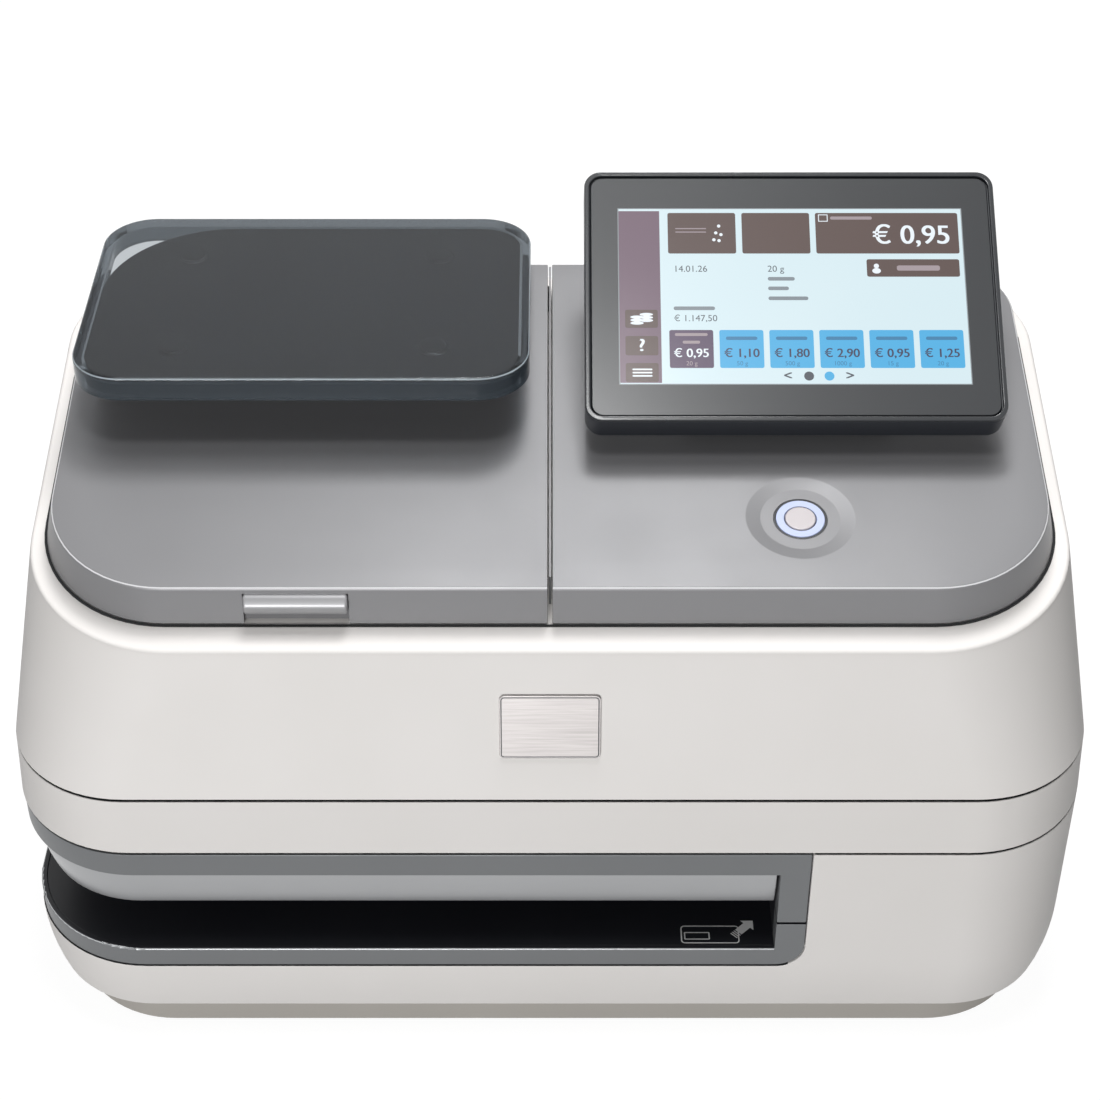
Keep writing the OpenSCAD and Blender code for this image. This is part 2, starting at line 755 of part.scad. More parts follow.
// Finger tab in the notch of the left cover: a sloped upper face, an upright nose and a recess below it
module cover_grip() color("#8d8e91") on_slope() {
  nose_y = cover_front - grip_out;
  foot_z = 1.5;
  translate([grip_x - grip_w / 2, 0, 0]) rotate([90, 0, 90]) linear_extrude(grip_w) polygon([
    [cover_front + 7, foot_z], [cover_front + 3, foot_z], [cover_front + 3, grip_top * 0.42],
    [nose_y, grip_top / 2], [nose_y, grip_top * 0.8], [nose_y + grip_top / 5, grip_top],
    [cover_front + 7, grip_top]]);
}

// Two pins of the cover hinge
module cover_hinge_pins() color("#c8cacc") on_slope() for (x = hinge_lug_x)
  bar_x(x - hinge_lug_w / 2 - 5, x + hinge_lug_w / 2 + 5, hinge_y, hinge_z, hinge_pin_d / 2);

// Fixed right cover with the dimple and the hole of the key
module right_cover() color("#a4a5a7") {
  flank = (dimple_r - dimple_floor_r) / dimple_depth;
  difference() {
    union() {
      hollow_cover(1);
      on_slope() translate([key_x, key_y, cover_h - cover_wall - 3])
        cylinder(r = dimple_r + 2, h = cover_wall + 2);
    }
    on_slope() translate([key_x, key_y, cover_h - dimple_depth])
      cylinder(r1 = dimple_floor_r, r2 = dimple_r + flank * cut, h = dimple_depth + cut);
    on_slope() translate([key_x, key_y, 0]) cylinder(r = bezel_r, h = 2 * cover_h);
  }
}

// Wedge that levels the scale on the sloped left cover, with the pocket of the load cell
module scale_pedestal() color("#2a2c30") difference() {
  pedestal_y = behind(cell_y) - cell_d / 2 - 4;
  translate([plate_x, 0, shoulder_z]) linear_extrude(pedestal_top - shoulder_z)
    plan(pedestal_w, pedestal_y, pedestal_y + pedestal_d, pedestal_r);
  on_slope() translate([-half_w, -body_d, -body_d]) cube([body_w, 2 * body_d, body_d + cover_h]);
  block([plate_x - cell_l / 2 - 1.5, behind(cell_y) - cell_d / 2 - 1, cell_z],
    [plate_x + cell_l / 2 + 1.5, behind(cell_y) + cell_d / 2 + 1, pedestal_top + cut]);
  block([plate_x - cell_l / 2 + cell_fixed_l, behind(cell_y) - cell_d / 2 - 1, cell_z - 1],
    [plate_x + cell_l / 2 + 1.5, behind(cell_y) + cell_d / 2 + 1, cell_z + cut]);
}

// Beam load cell, fixed at its left end
module load_cell() color("#c9ccd0") difference() {
  block([plate_x - cell_l / 2, behind(cell_y) - cell_d / 2, cell_z],
    [plate_x + cell_l / 2, behind(cell_y) + cell_d / 2, cell_z + cell_h]);
  for (x = [-5, 5])
    bar_y(plate_x + x, behind(cell_y) - cell_d, behind(cell_y) + cell_d, cell_z + cell_h / 2, 3.4);
  translate([carrier_pin_x, behind(cell_y), cell_z - cut])
    cylinder(r = carrier_pin_r + run_fit, h = cell_h + 2 * cut);
}

// Dark carrier under the weighing plate, with its pin in the load cell
module plate_carrier() color("#25272b") {
  w = plate_w - 2 * carrier_in;
  y0 = behind(plate_front + carrier_in);
  y1 = y0 + plate_d - 2 * carrier_in;
  r = plate_r - carrier_in;
  translate([plate_x, 0, carrier_z]) linear_extrude(carrier_t) difference() {
    plan(w, y0, y1, r);
    difference() {
      translate([-w / 2 - cut, y1 - carrier_r]) square(carrier_r + cut);
      translate([-w / 2 + carrier_r, y1 - carrier_r]) circle(carrier_r);
    }
  }
  for (x = [-pad_x, pad_x], y = [y0 + pad_in, y1 - pad_in])
    translate([plate_x + x, y, carrier_z]) cylinder(r = pad_r, h = carrier_t + pad_h);
  translate([carrier_pin_x, behind(cell_y), cell_z + 1])
    cylinder(r = carrier_pin_r, h = carrier_z - cell_z);
}

// Section of the skirt of the weighing plate with its rounded upper edge
module skirt_section() {
  round_r = 1.5;
  translate([-plate_t, 0]) square([plate_t - round_r, plate_h]);
  translate([-plate_t, 0]) square([plate_t, plate_h - round_r]);
  translate([-round_r, plate_h - round_r]) circle(round_r);
}

// Smoky acrylic plate that the letter is weighed on
module weighing_plate() color("#43464b") translate([plate_x, behind(plate_front + plate_d / 2), plate_z]) {
  ring(plate_w, plate_d, plate_r) skirt_section();
  inset = plate_t - 1;
  translate([0, 0, plate_h - plate_t]) linear_extrude(plate_t)
    plan(plate_w - 2 * inset, -plate_d / 2 + inset, plate_d / 2 - inset, plate_r - inset);
}

// Frame on the axis of the key, with z = 0 at the top of the cover
module on_key() on_slope() translate([key_x, key_y, cover_h]) children();

// Dark bezel of the key, with a flange under the cover
module button_bezel() color("#3a3c40") on_key() difference() {
  union() {
    translate([0, 0, -bezel_h]) cylinder(r = bezel_r - run_fit, h = bezel_h - 0.8);
    translate([0, 0, -bezel_h]) cylinder(r = bezel_r + 3, h = 3.4);
  }
  translate([0, 0, bezel_floor - bezel_h]) cylinder(r = bezel_r - 0.9, h = bezel_h);
  translate([0, 0, -bezel_h - cut]) cylinder(r = key_stem_r + run_fit, h = bezel_h);
}

// Ring that lights up round the key
module button_light_ring() color("#dde4ff") on_key() difference() {
  translate([0, 0, bezel_floor - bezel_h]) cylinder(r = bezel_r - 0.95, h = 7);
  translate([0, 0, -bezel_h]) cylinder(r = key_r + seat_gap, h = bezel_h + cut);
}

// Pearl key that is pressed, on its stem
module power_button() color("#d8d3d3") on_key() {
  translate([0, 0, -4.4]) cylinder(r = key_r, h = 4.2);
  translate([0, 0, -key_stem_h]) cylinder(r = key_stem_r, h = key_stem_h - 4);
}

// Switch under the key, held on the bezel
module button_switch() color("#30343a") on_key() difference() {
  cup_floor = 3;
  drop = key_travel + seat_gap;
  translate([0, 0, -key_stem_h - drop - cup_floor])
    cylinder(r = bezel_r + 1, h = key_stem_h - bezel_h + drop + cup_floor);
  translate([0, 0, -key_stem_h - drop]) cylinder(r = bezel_r - 2, h = bezel_h);
}

// Two ears of the display hinge on the right cover
module display_stand() color("#3a3e43") on_slope() {
  axis = stand_axis();
  for (side = [-1, 1]) {
    x = display_x + side * (knuckle_w / 2 + pass_gap + stand_ear_w / 2) - stand_ear_w / 2;
    difference() {
      union() {
        bar_x(x, x + stand_ear_w, axis.x, axis.y, knuckle_r);
        block([x, axis.x - knuckle_r, cover_h], [x + stand_ear_w, axis.x + knuckle_r, axis.y]);
      }
      bar_x(x - cut, x + stand_ear_w + cut, axis.x, axis.y, display_pin_r + hold_fit);
    }
  }
}

// Display hinge axis in the frame of the slope, as [y, z]
function stand_axis() =
  let (
    y = display_y - shoulder_in + display_axis[0] * cos(display_tilt) - display_axis[1] * sin(display_tilt),
    z = display_z - shoulder_z + display_axis[0] * sin(display_tilt) + display_axis[1] * cos(display_tilt)
  )
  [y * cos(slope) + z * sin(slope), z * cos(slope) - y * sin(slope)];

// Pin of the display hinge
module display_hinge_pin() color("#c8cacc") on_display()
  bar_x(-knuckle_w / 2 - stand_ear_w, knuckle_w / 2 + stand_ear_w,
    display_axis[0], display_axis[1], display_pin_r);

// Section of the display housing with its rounded rear edge
module housing_section() {
  round_r = 4;
  t = 2.2;
  translate([-t, round_r - display_t]) square([t, display_t - rim_h - round_r]);
  difference() {
    intersection() {
      translate([-round_r, round_r - display_t]) circle(round_r);
      translate([-round_r, -display_t]) square(round_r);
    }
    translate([-round_r, round_r - display_t]) circle(round_r - t);
  }
}

// Rear housing of the display with the knuckle of its hinge
module display_housing() color("#23282f") on_display() {
  inset = 3.5;
  translate([0, display_l / 2, 0]) ring(display_w, display_l, display_r) housing_section();
  difference() {
    translate([0, 0, -display_t]) linear_extrude(2.2)
      plan(display_w - 2 * inset, inset, display_l - inset, display_r - inset);
    slits(-vent_pitch * (vent_count - 1) / 2, display_l * 0.6, display_l * 0.75, -display_t - cut, 0);
  }
  difference() {
    union() {
      bar_x(-knuckle_w / 2, knuckle_w / 2, display_axis[0], display_axis[1], knuckle_r);
      block([-knuckle_w / 2, display_axis[0] - knuckle_r, display_axis[1]],
        [knuckle_w / 2, display_axis[0] + knuckle_r, -display_t]);
    }
    bar_x(-knuckle_w, knuckle_w, display_axis[0], display_axis[1], display_pin_r + run_fit);
  }
  for (x = [-1, 1], y = [12, display_l - 10])
    translate([x * (screen_w / 2 - 8), y, 0.5 - display_t]) cylinder(r = 3, h = 5);
}

// Circuit board of the display, on the posts of the housing
module display_board() color("#2f6b4a") on_display()
  block([-screen_w / 2, 6, 5.5 - display_t], [screen_w / 2, display_l - 6, 7 - display_t]);

// Screen panel behind the glass, on the board
module lcd_panel() color("#d8f0f4") on_display()
  block([-screen_w / 2 - 2, screen_y - 3, 7 - display_t],
    [screen_w / 2 + 2, screen_y + screen_h + 3, -rim_h - 1.2]);

// Touch glass over the screen
module touch_glass() color("#33373b") on_display() translate([0, 0, -rim_h - 1.2]) linear_extrude(2)
  plan(display_w - 2 * (rim_w + 0.4), rim_w + 0.4, display_l - rim_w - 0.4, display_r - rim_w);

// Thin raised rim round the display
module display_rim() color("#3b4046") on_display() translate([0, 0, -rim_h])
  linear_extrude(rim_h) difference() {
    plan(display_w, 0, display_l, display_r);
    plan(display_w - 2 * rim_w, rim_w, display_l - rim_w, display_r - rim_w + 0.3);
  }

// Rear and right stops of the letter, with the slit of the lever
module letter_fence() color("#1d1f22") difference() {
  union() {
    block([hood_depth - half_w, behind(slot_depth), deck_z],
      [slot_end_x + fence_t, behind(slot_depth) + fence_t, guide_z]);
    block([slot_end_x, front + hood_depth, deck_z],
      [slot_end_x + fence_t, behind(slot_depth) + cut, guide_z]);
  }
  block([lever_axis.x - lever_arm - 10, behind(slot_depth) - cut, deck_z + 4],
    [lever_axis.x - lever_arm + 4, behind(slot_depth) + fence_t + cut, guide_z - 4]);
}

// Ceiling of the slot with the print window
module print_guide() color("#26282c") difference() {
  translate([0, 0, guide_z]) linear_extrude(guide_t) slot_plan(hood_depth, slot_end_x + 6, inner_depth);
  translate([window_x, behind(window_y), guide_z - cut]) linear_extrude(guide_t + 2 * cut)
    plan(window_l, -window_d / 2, window_d / 2, press_r);
}

// Lever that the edge of the letter swings back, with a rounded finger
module letter_lever() color("#d8b23a") translate([lever_axis.x, behind(lever_axis.y), deck_z + lever_up])
  linear_extrude(lever_h) difference() {
    union() {
      circle(lever_w);
      translate([-lever_arm, -lever_w / 2]) square([lever_arm, lever_w]);
      translate([-lever_arm, 0]) circle(lever_w / 2);
      translate([-lever_arm - lever_w / 2, lever_w / 2 - lever_reach])
        square([lever_w, lever_reach - lever_w / 2]);
      translate([-lever_arm, lever_w / 2 - lever_reach]) circle(lever_w / 2);
    }
    circle(lever_pin_r + run_fit);
  }

// Upright pin of the letter lever, with the collar that carries the lever
module lever_pin() color("#c8cacc") translate([lever_axis.x, behind(lever_axis.y), deck_z]) {
  cylinder(r = lever_pin_r, h = guide_z - deck_z);
  cylinder(r = lever_pin_r + 1.5, h = lever_up - seat_gap);
}

// Switch that the letter lever works
module letter_switch() color("#202329")
  block([lever_axis.x - lever_arm, behind(lever_axis.y + 11), deck_z],
    [lever_axis.x - 2, behind(inner_depth - 1), deck_z + switch_h]);

// Plate that lifts the letter to the print guide, ribbed below, on a plunger and two guide pins
module pressure_plate() color("#3c3f44") translate([press_x, behind(press_y), 0]) {
  foot_z = tray_floor_z + sleeve_floor;
  leg_h = deck_z - press_t - foot_z + 0.5;
  translate([0, 0, deck_z - press_t]) linear_extrude(press_t)
    plan(press_w, -press_d / 2, press_d / 2, press_r);
  for (side = [-1, 1]) translate([0, side * (press_d / 2 - press_rib), 0])
    block([-press_w / 2 + press_r, -rib_t / 2, deck_z - press_t - press_rib],
      [press_w / 2 - press_r, rib_t / 2, deck_z - press_t / 2]);
  translate([0, 0, foot_z]) cylinder(r = plunger_d / 2, h = leg_h);
  for (side = [-1, 1]) translate([side * guide_pin_gap, 0, foot_z]) cylinder(r = guide_pin_r, h = leg_h);
}

// Actuator of the pressure plate with its two guide sleeves
module lift_actuator() color("#8f949a") translate([press_x, behind(press_y), tray_floor_z]) difference() {
  union() {
    block([-guide_pin_gap - sleeve_r - 2, -bobbin_r * 3 / 4, 0],
      [guide_pin_gap + sleeve_r + 2, bobbin_r * 3 / 4, tray_t]);
    cylinder(r = bobbin_r, h = deck_z - press_t - tray_floor_z - 3);
    for (side = [-1, 1]) translate([side * guide_pin_gap, 0, 0]) cylinder(r = sleeve_r, h = sleeve_h);
  }
  translate([0, 0, sleeve_floor - seat_gap]) cylinder(r = plunger_d / 2 + run_fit, h = deck_z);
  for (side = [-1, 1]) translate([side * guide_pin_gap, 0, sleeve_floor - seat_gap])
    cylinder(r = guide_pin_r + run_fit, h = deck_z);
}

// Upright sheet behind the print unit, with bent flanges, windows and the holes of the belt drive
module rear_frame() color("#b9bdc2") difference() {
  right = right_plate_x + frame_t;
  union() {
    block([left_plate_x, behind(frame_y), tray_floor_z], [right, behind(frame_y) + frame_t, frame_top]);
    block([left_plate_x, behind(frame_y), tray_floor_z],
      [right, behind(frame_y) + foot_w, tray_floor_z + frame_t]);
    block([left_plate_x, behind(frame_y), frame_top - frame_t],
      [right, behind(frame_y) + flange_w, frame_top]);
  }
  bar_y(drive_x, behind(frame_y) - cut, behind(frame_y) + 2 * frame_t, belt_z, motor_shaft_r + 3);
  bar_y(idler_x, behind(frame_y) - cut, behind(frame_y) + 2 * frame_t, belt_z, idler_pin_r + hold_fit);
  upright_window_y(idler_x + frame_hole_w, frame_y, frame_hole_w,
    frame_hole_z, belt_z + pulley_r);
  upright_window_y(idler_x + 2.2 * frame_hole_w, frame_y, frame_hole_w,
    frame_hole_z, belt_z + pulley_r);
}

// Side sheet that holds both rods, with a window between them
module rod_plate(x, z0) difference() {
  block([x, behind(plate_front_y), z0], [x + frame_t, behind(frame_y), frame_top]);
  for (y = [front_rod_y, rear_rod_y])
    bar_x(x - cut, x + frame_t + cut, behind(y), rod_z, rod_d / 2 + hold_fit);
  upright_window_x(x, (front_rod_y + rear_rod_y) / 2, rear_rod_y - front_rod_y - 5 * rod_d,
    z0 + 2 * frame_hole_r, rod_z + rod_d);
}

// Left side plate of the frame, on the print guide
module left_bracket() color("#b9bdc2") {
  rod_plate(left_plate_x, guide_top_z);
  block([left_plate_x, behind(plate_front_y), guide_top_z],
    [left_plate_x + flange_w + frame_t, behind(inner_depth), guide_top_z + frame_t]);
}

// Right side plate of the frame, on the tray
module right_bracket() color("#b9bdc2") {
  rod_plate(right_plate_x, tray_floor_z);
  block([right_plate_x - flange_w + frame_t, behind(plate_front_y), tray_floor_z],
    [right_plate_x + frame_t, behind(frame_y), tray_floor_z + frame_t]);
}

// Two rods that the carriage runs on
module carriage_rods() color("#d4d7da") for (y = [front_rod_y, rear_rod_y])
  bar_x(left_plate_x - 2, right_plate_x + frame_t + 2, behind(y), rod_z, rod_d / 2);

// Cradle of the two cartridges, with its bushes, belt clamp and latch ears
module print_carriage() color("#33363b") translate([park_x, 0, 0]) {
  half = carriage_w / 2;
  boss_r = rod_d / 2 + 4;
  difference() {
    union() {
      block([-half, behind(cradle_y[0]), floor_z], [half, behind(cradle_y[1]), floor_z + floor_t]);
      for (x = [-half, -ear_t / 2, half - ear_t])
        block([x, behind(cradle_y[0]), floor_z], [x + ear_t, behind(cradle_y[1]), floor_z + 38]);
      block([-half, behind(cradle_y[0]), floor_z], [half, behind(cradle_y[0]) + ear_t, rod_z + 4]);
      block([-half, behind(cradle_y[1]) - ear_t, floor_z],
        [half, behind(cradle_y[1]), latch_axis[1] - latch_hub_r - 1]);
      for (x = [-half, -ear_t / 2, half - ear_t])
        block([x, behind(cradle_y[1]) - ear_t, floor_z],
          [x + ear_t, behind(latch_axis[0]) + 4, latch_axis[1] + 4]);
      for (y = [front_rod_y, rear_rod_y]) bar_x(-half, half, behind(y), rod_z, boss_r);
      block([-half, behind(front_rod_y), rod_z - boss_r / 2],
        [half, behind(cradle_y[0]) + ear_t, rod_z + boss_r / 2]);
      block([-half, behind(cradle_y[1]) - ear_t, rod_z - boss_r / 2],
        [half, behind(rear_rod_y), rod_z + boss_r / 2]);
      block([-8, behind(rear_rod_y), belt_z + pulley_r - 5],
        [8, behind(belt_y + belt_w + 3), belt_z + pulley_r + 7]);
    }
    for (y = [front_rod_y, rear_rod_y])
      bar_x(-half - cut, half + cut, behind(y), rod_z, rod_d / 2 + run_fit);
    for (side = [-1, 1]) nozzle_window(side, floor_z - cut, floor_z + floor_t + cut);
    block([-8 - cut, behind(belt_y) - 0.5, belt_z + pulley_r - pass_gap],
      [8 + cut, behind(belt_y + belt_w + 4), belt_z + pulley_r + belt_t + pass_gap]);
    bar_x(-half - cut, half + cut, behind(latch_axis[0]), latch_axis[1], latch_pin_r + hold_fit);
  }
}

// Middle of the nozzle block of a cartridge behind the front of the body
function nozzle_y(side) = 76 + side * 7;

// Window round the nozzle block of one cartridge, measured from the middle of the carriage
module nozzle_window(side, z0, z1) {
  x = side * cartridge_x;
  y = behind(nozzle_y(side));
  block([x - nozzle_w / 2 - 1, y - nozzle_d / 2 - 1, z0], [x + nozzle_w / 2 + 1, y + nozzle_d / 2 + 1, z1]);
}

// One ink cartridge in the cradle: a stepped side profile with a sloped nose, and its nozzle block
module cartridge(side) translate([park_x + side * cartridge_x, 0, 0]) {
  y0 = cradle_y[0] + 3;
  y1 = cradle_y[1] - 3;
  z0 = floor_z + floor_t;
  profile_x(-cartridge_w / 2, cartridge_w / 2) polygon([
    [y0, z0], [y1, z0], [y1, cartridge_top - 12], [y1 - 4, cartridge_top - 8], [y0 + 4, cartridge_top - 8],
    [y0, cartridge_top - 14]]);
  profile_x(1.5 - cartridge_w / 2, cartridge_w / 2 - 1.5) polygon([
    [y0 + 8, cartridge_top - 10], [y1 - 7, cartridge_top - 10], [y1 - 5, cartridge_top - 2],
    [y1 - 7, cartridge_top], [y0 + 5, cartridge_top], [y0 + 4, cartridge_top - 1.5]]);
  block([-nozzle_w / 2, behind(nozzle_y(side)) - nozzle_d / 2, nozzle_z],
    [nozzle_w / 2, behind(nozzle_y(side)) + nozzle_d / 2, z0 + cut]);
}
module left_cartridge() color("#2d3036") cartridge(-1);
module right_cartridge() color("#2d3036") cartridge(1);

// Rod that both latches turn on
module latch_pin() color("#c8cacc")
  bar_x(park_x - carriage_w / 2, park_x + carriage_w / 2,
    behind(latch_axis[0]), latch_axis[1], latch_pin_r);

// Lever that holds one cartridge down, with a finger tab that curls up at its tip
module latch(side) translate([park_x + side * (carriage_w / 4 - ear_t / 4), 0, 0]) {
  half = carriage_w / 4 - ear_t * 3 / 4 - pass_gap;
  arm_half = half - 5;
  under = cartridge_top + pass_gap;
  top = under + latch_arm_t;
  difference() {
    union() {
      bar_x(-half, half, behind(latch_axis[0]), latch_axis[1], latch_hub_r);
      block([-half, behind(latch_axis[0]) - latch_hub_r, latch_axis[1]],
        [half, behind(latch_axis[0]) + 1, under + 1]);
      profile_x(-arm_half, arm_half) difference() {
        polygon([[latch_axis[0] + 1, under], [latch_axis[0] - 6, top], [latch_tip_y, top + latch_arm_t],
          [latch_tip_y - 2, top + latch_arm_t], [latch_tip_y, under]]);
        translate([latch_tip_y + 14, top + 12]) circle(12);
      }
    }
    bar_x(-half - cut, half + cut, behind(latch_axis[0]), latch_axis[1], latch_pin_r + run_fit);
  }
}
module left_latch() color("#3f6fae") latch(-1);
module right_latch() color("#3f6fae") latch(1);

// Motor of the carriage behind the frame, with its mounting ears, end cap and shaft
module carriage_motor() color("#7b8086") {
  y0 = behind(frame_y) + frame_t;
  bar_y(drive_x, y0, y0 + motor_l, belt_z, motor_r);
  bar_y(drive_x, y0 + motor_l - cut, y0 + motor_l + motor_cap_l, belt_z, motor_cap_r);
  translate([drive_x, y0, belt_z]) rotate([-90, 0, 0]) linear_extrude(frame_t)
    plan(2 * motor_ear, -motor_r - motor_ear, motor_r + motor_ear, motor_ear);
  bar_y(drive_x, behind(belt_y - 3), y0 + cut, belt_z, motor_shaft_r);
}

// Flanged and toothed pulley on an axis along Y
module pulley(x, bore_r) difference() {
  flange_t = 1.2;
  flange_gap = 0.4;
  union() {
    bar_y(x, behind(belt_y - flange_gap), behind(belt_y + belt_w + flange_gap), belt_z, pulley_r - 0.1);
    for (y = [belt_y - flange_gap - flange_t, belt_y + belt_w + flange_gap])
      bar_y(x, behind(y), behind(y + flange_t), belt_z, pulley_r + 2.5);
  }
  bar_y(x, behind(belt_y) - 10, behind(belt_y) + 20, belt_z, bore_r);
  for (k = [0 : tooth_count - 1]) bar_y(x + (pulley_r - 0.1) * cos(360 * k / tooth_count),
    behind(belt_y - flange_gap), behind(belt_y + belt_w + flange_gap),
    belt_z + (pulley_r - 0.1) * sin(360 * k / tooth_count), tooth_r, $fn = 24);
}
module drive_pulley() color("#c2c5c9") pulley(drive_x, motor_shaft_r + run_fit);
module idler_pulley() color("#c2c5c9") pulley(idler_x, idler_pin_r + run_fit);

// Pin of the idler pulley in the frame
module idler_axle() color("#c8cacc") {
  bar_y(idler_x, behind(belt_y - 3), behind(frame_y) + frame_t + 1, belt_z, idler_pin_r);
  bar_y(idler_x, behind(belt_y + belt_w + 2), behind(frame_y), belt_z, idler_pin_r + 2);
}

// Belt loop between the two pulleys
module carriage_belt() color("#1b1c1e") translate([0, behind(belt_y + belt_w), belt_z]) rotate([90, 0, 0])
  linear_extrude(belt_w) difference() {
    belt_outline(pulley_r + belt_t);
    belt_outline(pulley_r);
  }

// Outline of the belt at one distance from the pulley axes
module belt_outline(r) {
  for (x = [idler_x, drive_x]) translate([x, 0]) circle(r);
  translate([idler_x, -r]) square([drive_x - idler_x, 2 * r]);
}

// Station that catches the ink of the nozzles at rest, with a lip round each cap
module cleaning_station() color("#4a4e54") difference() {
  top = guide_top_z - 1;
  union() {
    translate([park_x, behind(station_y), tray_floor_z]) linear_extrude(top - tray_floor_z)
      plan(station_w, -station_d / 2, station_d / 2, pedestal_r);
    for (side = [-1, 1])
      block([park_x + side * cartridge_x - nozzle_w / 2 - 1 - cap_lip,
          behind(nozzle_y(side)) - nozzle_d / 2 - 1 - cap_lip, top - cut],
        [park_x + side * cartridge_x + nozzle_w / 2 + 1 + cap_lip,
          behind(nozzle_y(side)) + nozzle_d / 2 + 1 + cap_lip, nozzle_z - pass_gap]);
  }
  for (side = [-1, 1]) translate([park_x, 0, 0]) nozzle_window(side, guide_top_z - 6, nozzle_z);
}

// Rubber blade that wipes the nozzles, in its holder beside the station
module wiper_blade() color("#5a3a34") {
  x1 = park_x - station_w / 2;
  holder_top = guide_top_z - 6;
  block([x1 - holder_t, behind(station_y) - wiper_w / 2, holder_top - holder_h],
    [x1, behind(station_y) + wiper_w / 2, holder_top]);
  block([x1 - (holder_t + wiper_t) / 2, behind(station_y) - wiper_w / 2 + 1, holder_top - cut],
    [x1 - (holder_t - wiper_t) / 2, behind(station_y) + wiper_w / 2 - 1, nozzle_z - pass_gap]);
}

// Main circuit board with its larger components, on posts behind the frame
module main_board() color("#2f6b4a") translate([ports_x + 5 - board_w, behind(frame_y) + frame_t, board_z]) {
  face = board_gap + board_t;
  block([0, board_gap, 0], [board_w, face, board_h]);
  for (x = [post_in, board_w - post_in], z = [post_in, board_h - post_in]) bar_y(x, 0, board_gap, z, post_r);
  block([chip_w + 12, face, chip_w + 2], [2 * chip_w + 12, face + chip_t, 2 * chip_w + 2]);
  block([3 * chip_w + 6, face, 2 * chip_w - 6], [3.5 * chip_w + 6, face + chip_t, 2.5 * chip_w - 6]);
  for (k = [0 : 2]) bar_y(2 * coil_r + 14 * k, face, face + coil_h, 4 * coil_r, coil_r);
}

// Power supply on the tray under the letter deck: a vented sheet case over its transformer and coils
module power_supply() color("#aeb2b7") {
  y0 = behind(supply_y);
  y1 = y0 + supply_d;
  top = tray_floor_z + supply_h;
  margin = supply_d / 5;
  difference() {
    block([supply_x, y0, tray_floor_z], [supply_x + supply_w, y1, top]);
    block([supply_x + supply_wall, y0 + supply_wall, tray_floor_z + supply_wall],
      [supply_x + supply_w - supply_wall, y1 - supply_wall, top - supply_wall]);
    slits(supply_x + vent_pitch / 2, y0 + margin, y1 - margin, top - 2 * supply_wall, top + cut);
  }
  block([supply_x + supply_w / 5, y0 + margin, tray_floor_z + supply_wall / 2],
    [supply_x + supply_w / 2, y1 - margin, tray_floor_z + supply_h * 0.7]);
  for (y = [y0 + margin, y1 - margin])
    translate([supply_x + supply_w * 0.75, y, tray_floor_z + supply_wall / 2])
      cylinder(r = coil_r, h = supply_h / 2);
}

// Mains inlet in the back wall with its three pins
module power_inlet() color("#1e2023") {
  y1 = -front;
  difference() {
    block([inlet_x - inlet_w / 2, y1 - socket_depth - socket_floor, inlet_z - inlet_h / 2],
      [inlet_x + inlet_w / 2, y1, inlet_z + inlet_h / 2]);
    block([inlet_x - inlet_w / 2 + socket_wall, y1 - socket_depth, inlet_z - inlet_h / 2 + socket_wall],
      [inlet_x + inlet_w / 2 - socket_wall, y1 + cut, inlet_z + inlet_h / 2 - socket_wall]);
  }
  for (pin = [[-pin_gap, -pin_t], [0, pin_t], [pin_gap, -pin_t]])
    block([inlet_x + pin.x - pin_t / 2, y1 - socket_depth - 1, inlet_z + pin.y - pin_t],
      [inlet_x + pin.x + pin_t / 2, y1 - pin_t, inlet_z + pin.y + pin_t]);
}

// Network and data sockets in the back wall
module data_ports() color("#2a2d31") {
  y1 = -front;
  middle = inlet_z - 0.5;
  net_x = ports_x - ports_w / 2 + socket_wall + 1;
  usb_x = ports_x + ports_w / 2 - socket_wall - usb_w;
  difference() {
    block([ports_x - ports_w / 2, y1 - port_depth - socket_floor, inlet_z - ports_h / 2],
      [ports_x + ports_w / 2, y1, inlet_z + ports_h / 2]);
    block([net_x, y1 - port_depth, middle - net_h / 2], [net_x + net_w, y1 + cut, middle + net_h / 2]);
    block([usb_x, y1 - port_depth, middle - usb_h / 2], [usb_x + usb_w, y1 + cut, middle + usb_h / 2]);
  }
  block([usb_x + 1, y1 - port_depth - 1, middle - 1], [usb_x + usb_w - 1, y1 - pin_t, middle + 1]);
}

bottom_tray();
rubber_feet();
base_shell();
letter_deck();
deck_lip();
slot_band();
slot_lip();
middle_band();
upper_shell();
badge_plate();
left_cover();
cover_grip();
cover_hinge_pins();
right_cover();
scale_pedestal();
load_cell();
plate_carrier();
weighing_plate();
button_bezel();
button_light_ring();
power_button();
button_switch();
display_stand();
display_hinge_pin();
display_housing();
display_board();
lcd_panel();
touch_glass();
display_rim();
letter_fence();
print_guide();
letter_lever();
lever_pin();
letter_switch();
pressure_plate();
lift_actuator();
rear_frame();
left_bracket();
right_bracket();
carriage_rods();
print_carriage();
left_cartridge();
right_cartridge();
latch_pin();
left_latch();
right_latch();
carriage_motor();
drive_pulley();
idler_axle();
idler_pulley();
carriage_belt();
cleaning_station();
wiper_blade();
main_board();
power_supply();
power_inlet();
data_ports();
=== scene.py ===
import math

import bmesh
import bpy
from mathutils import Matrix, Vector


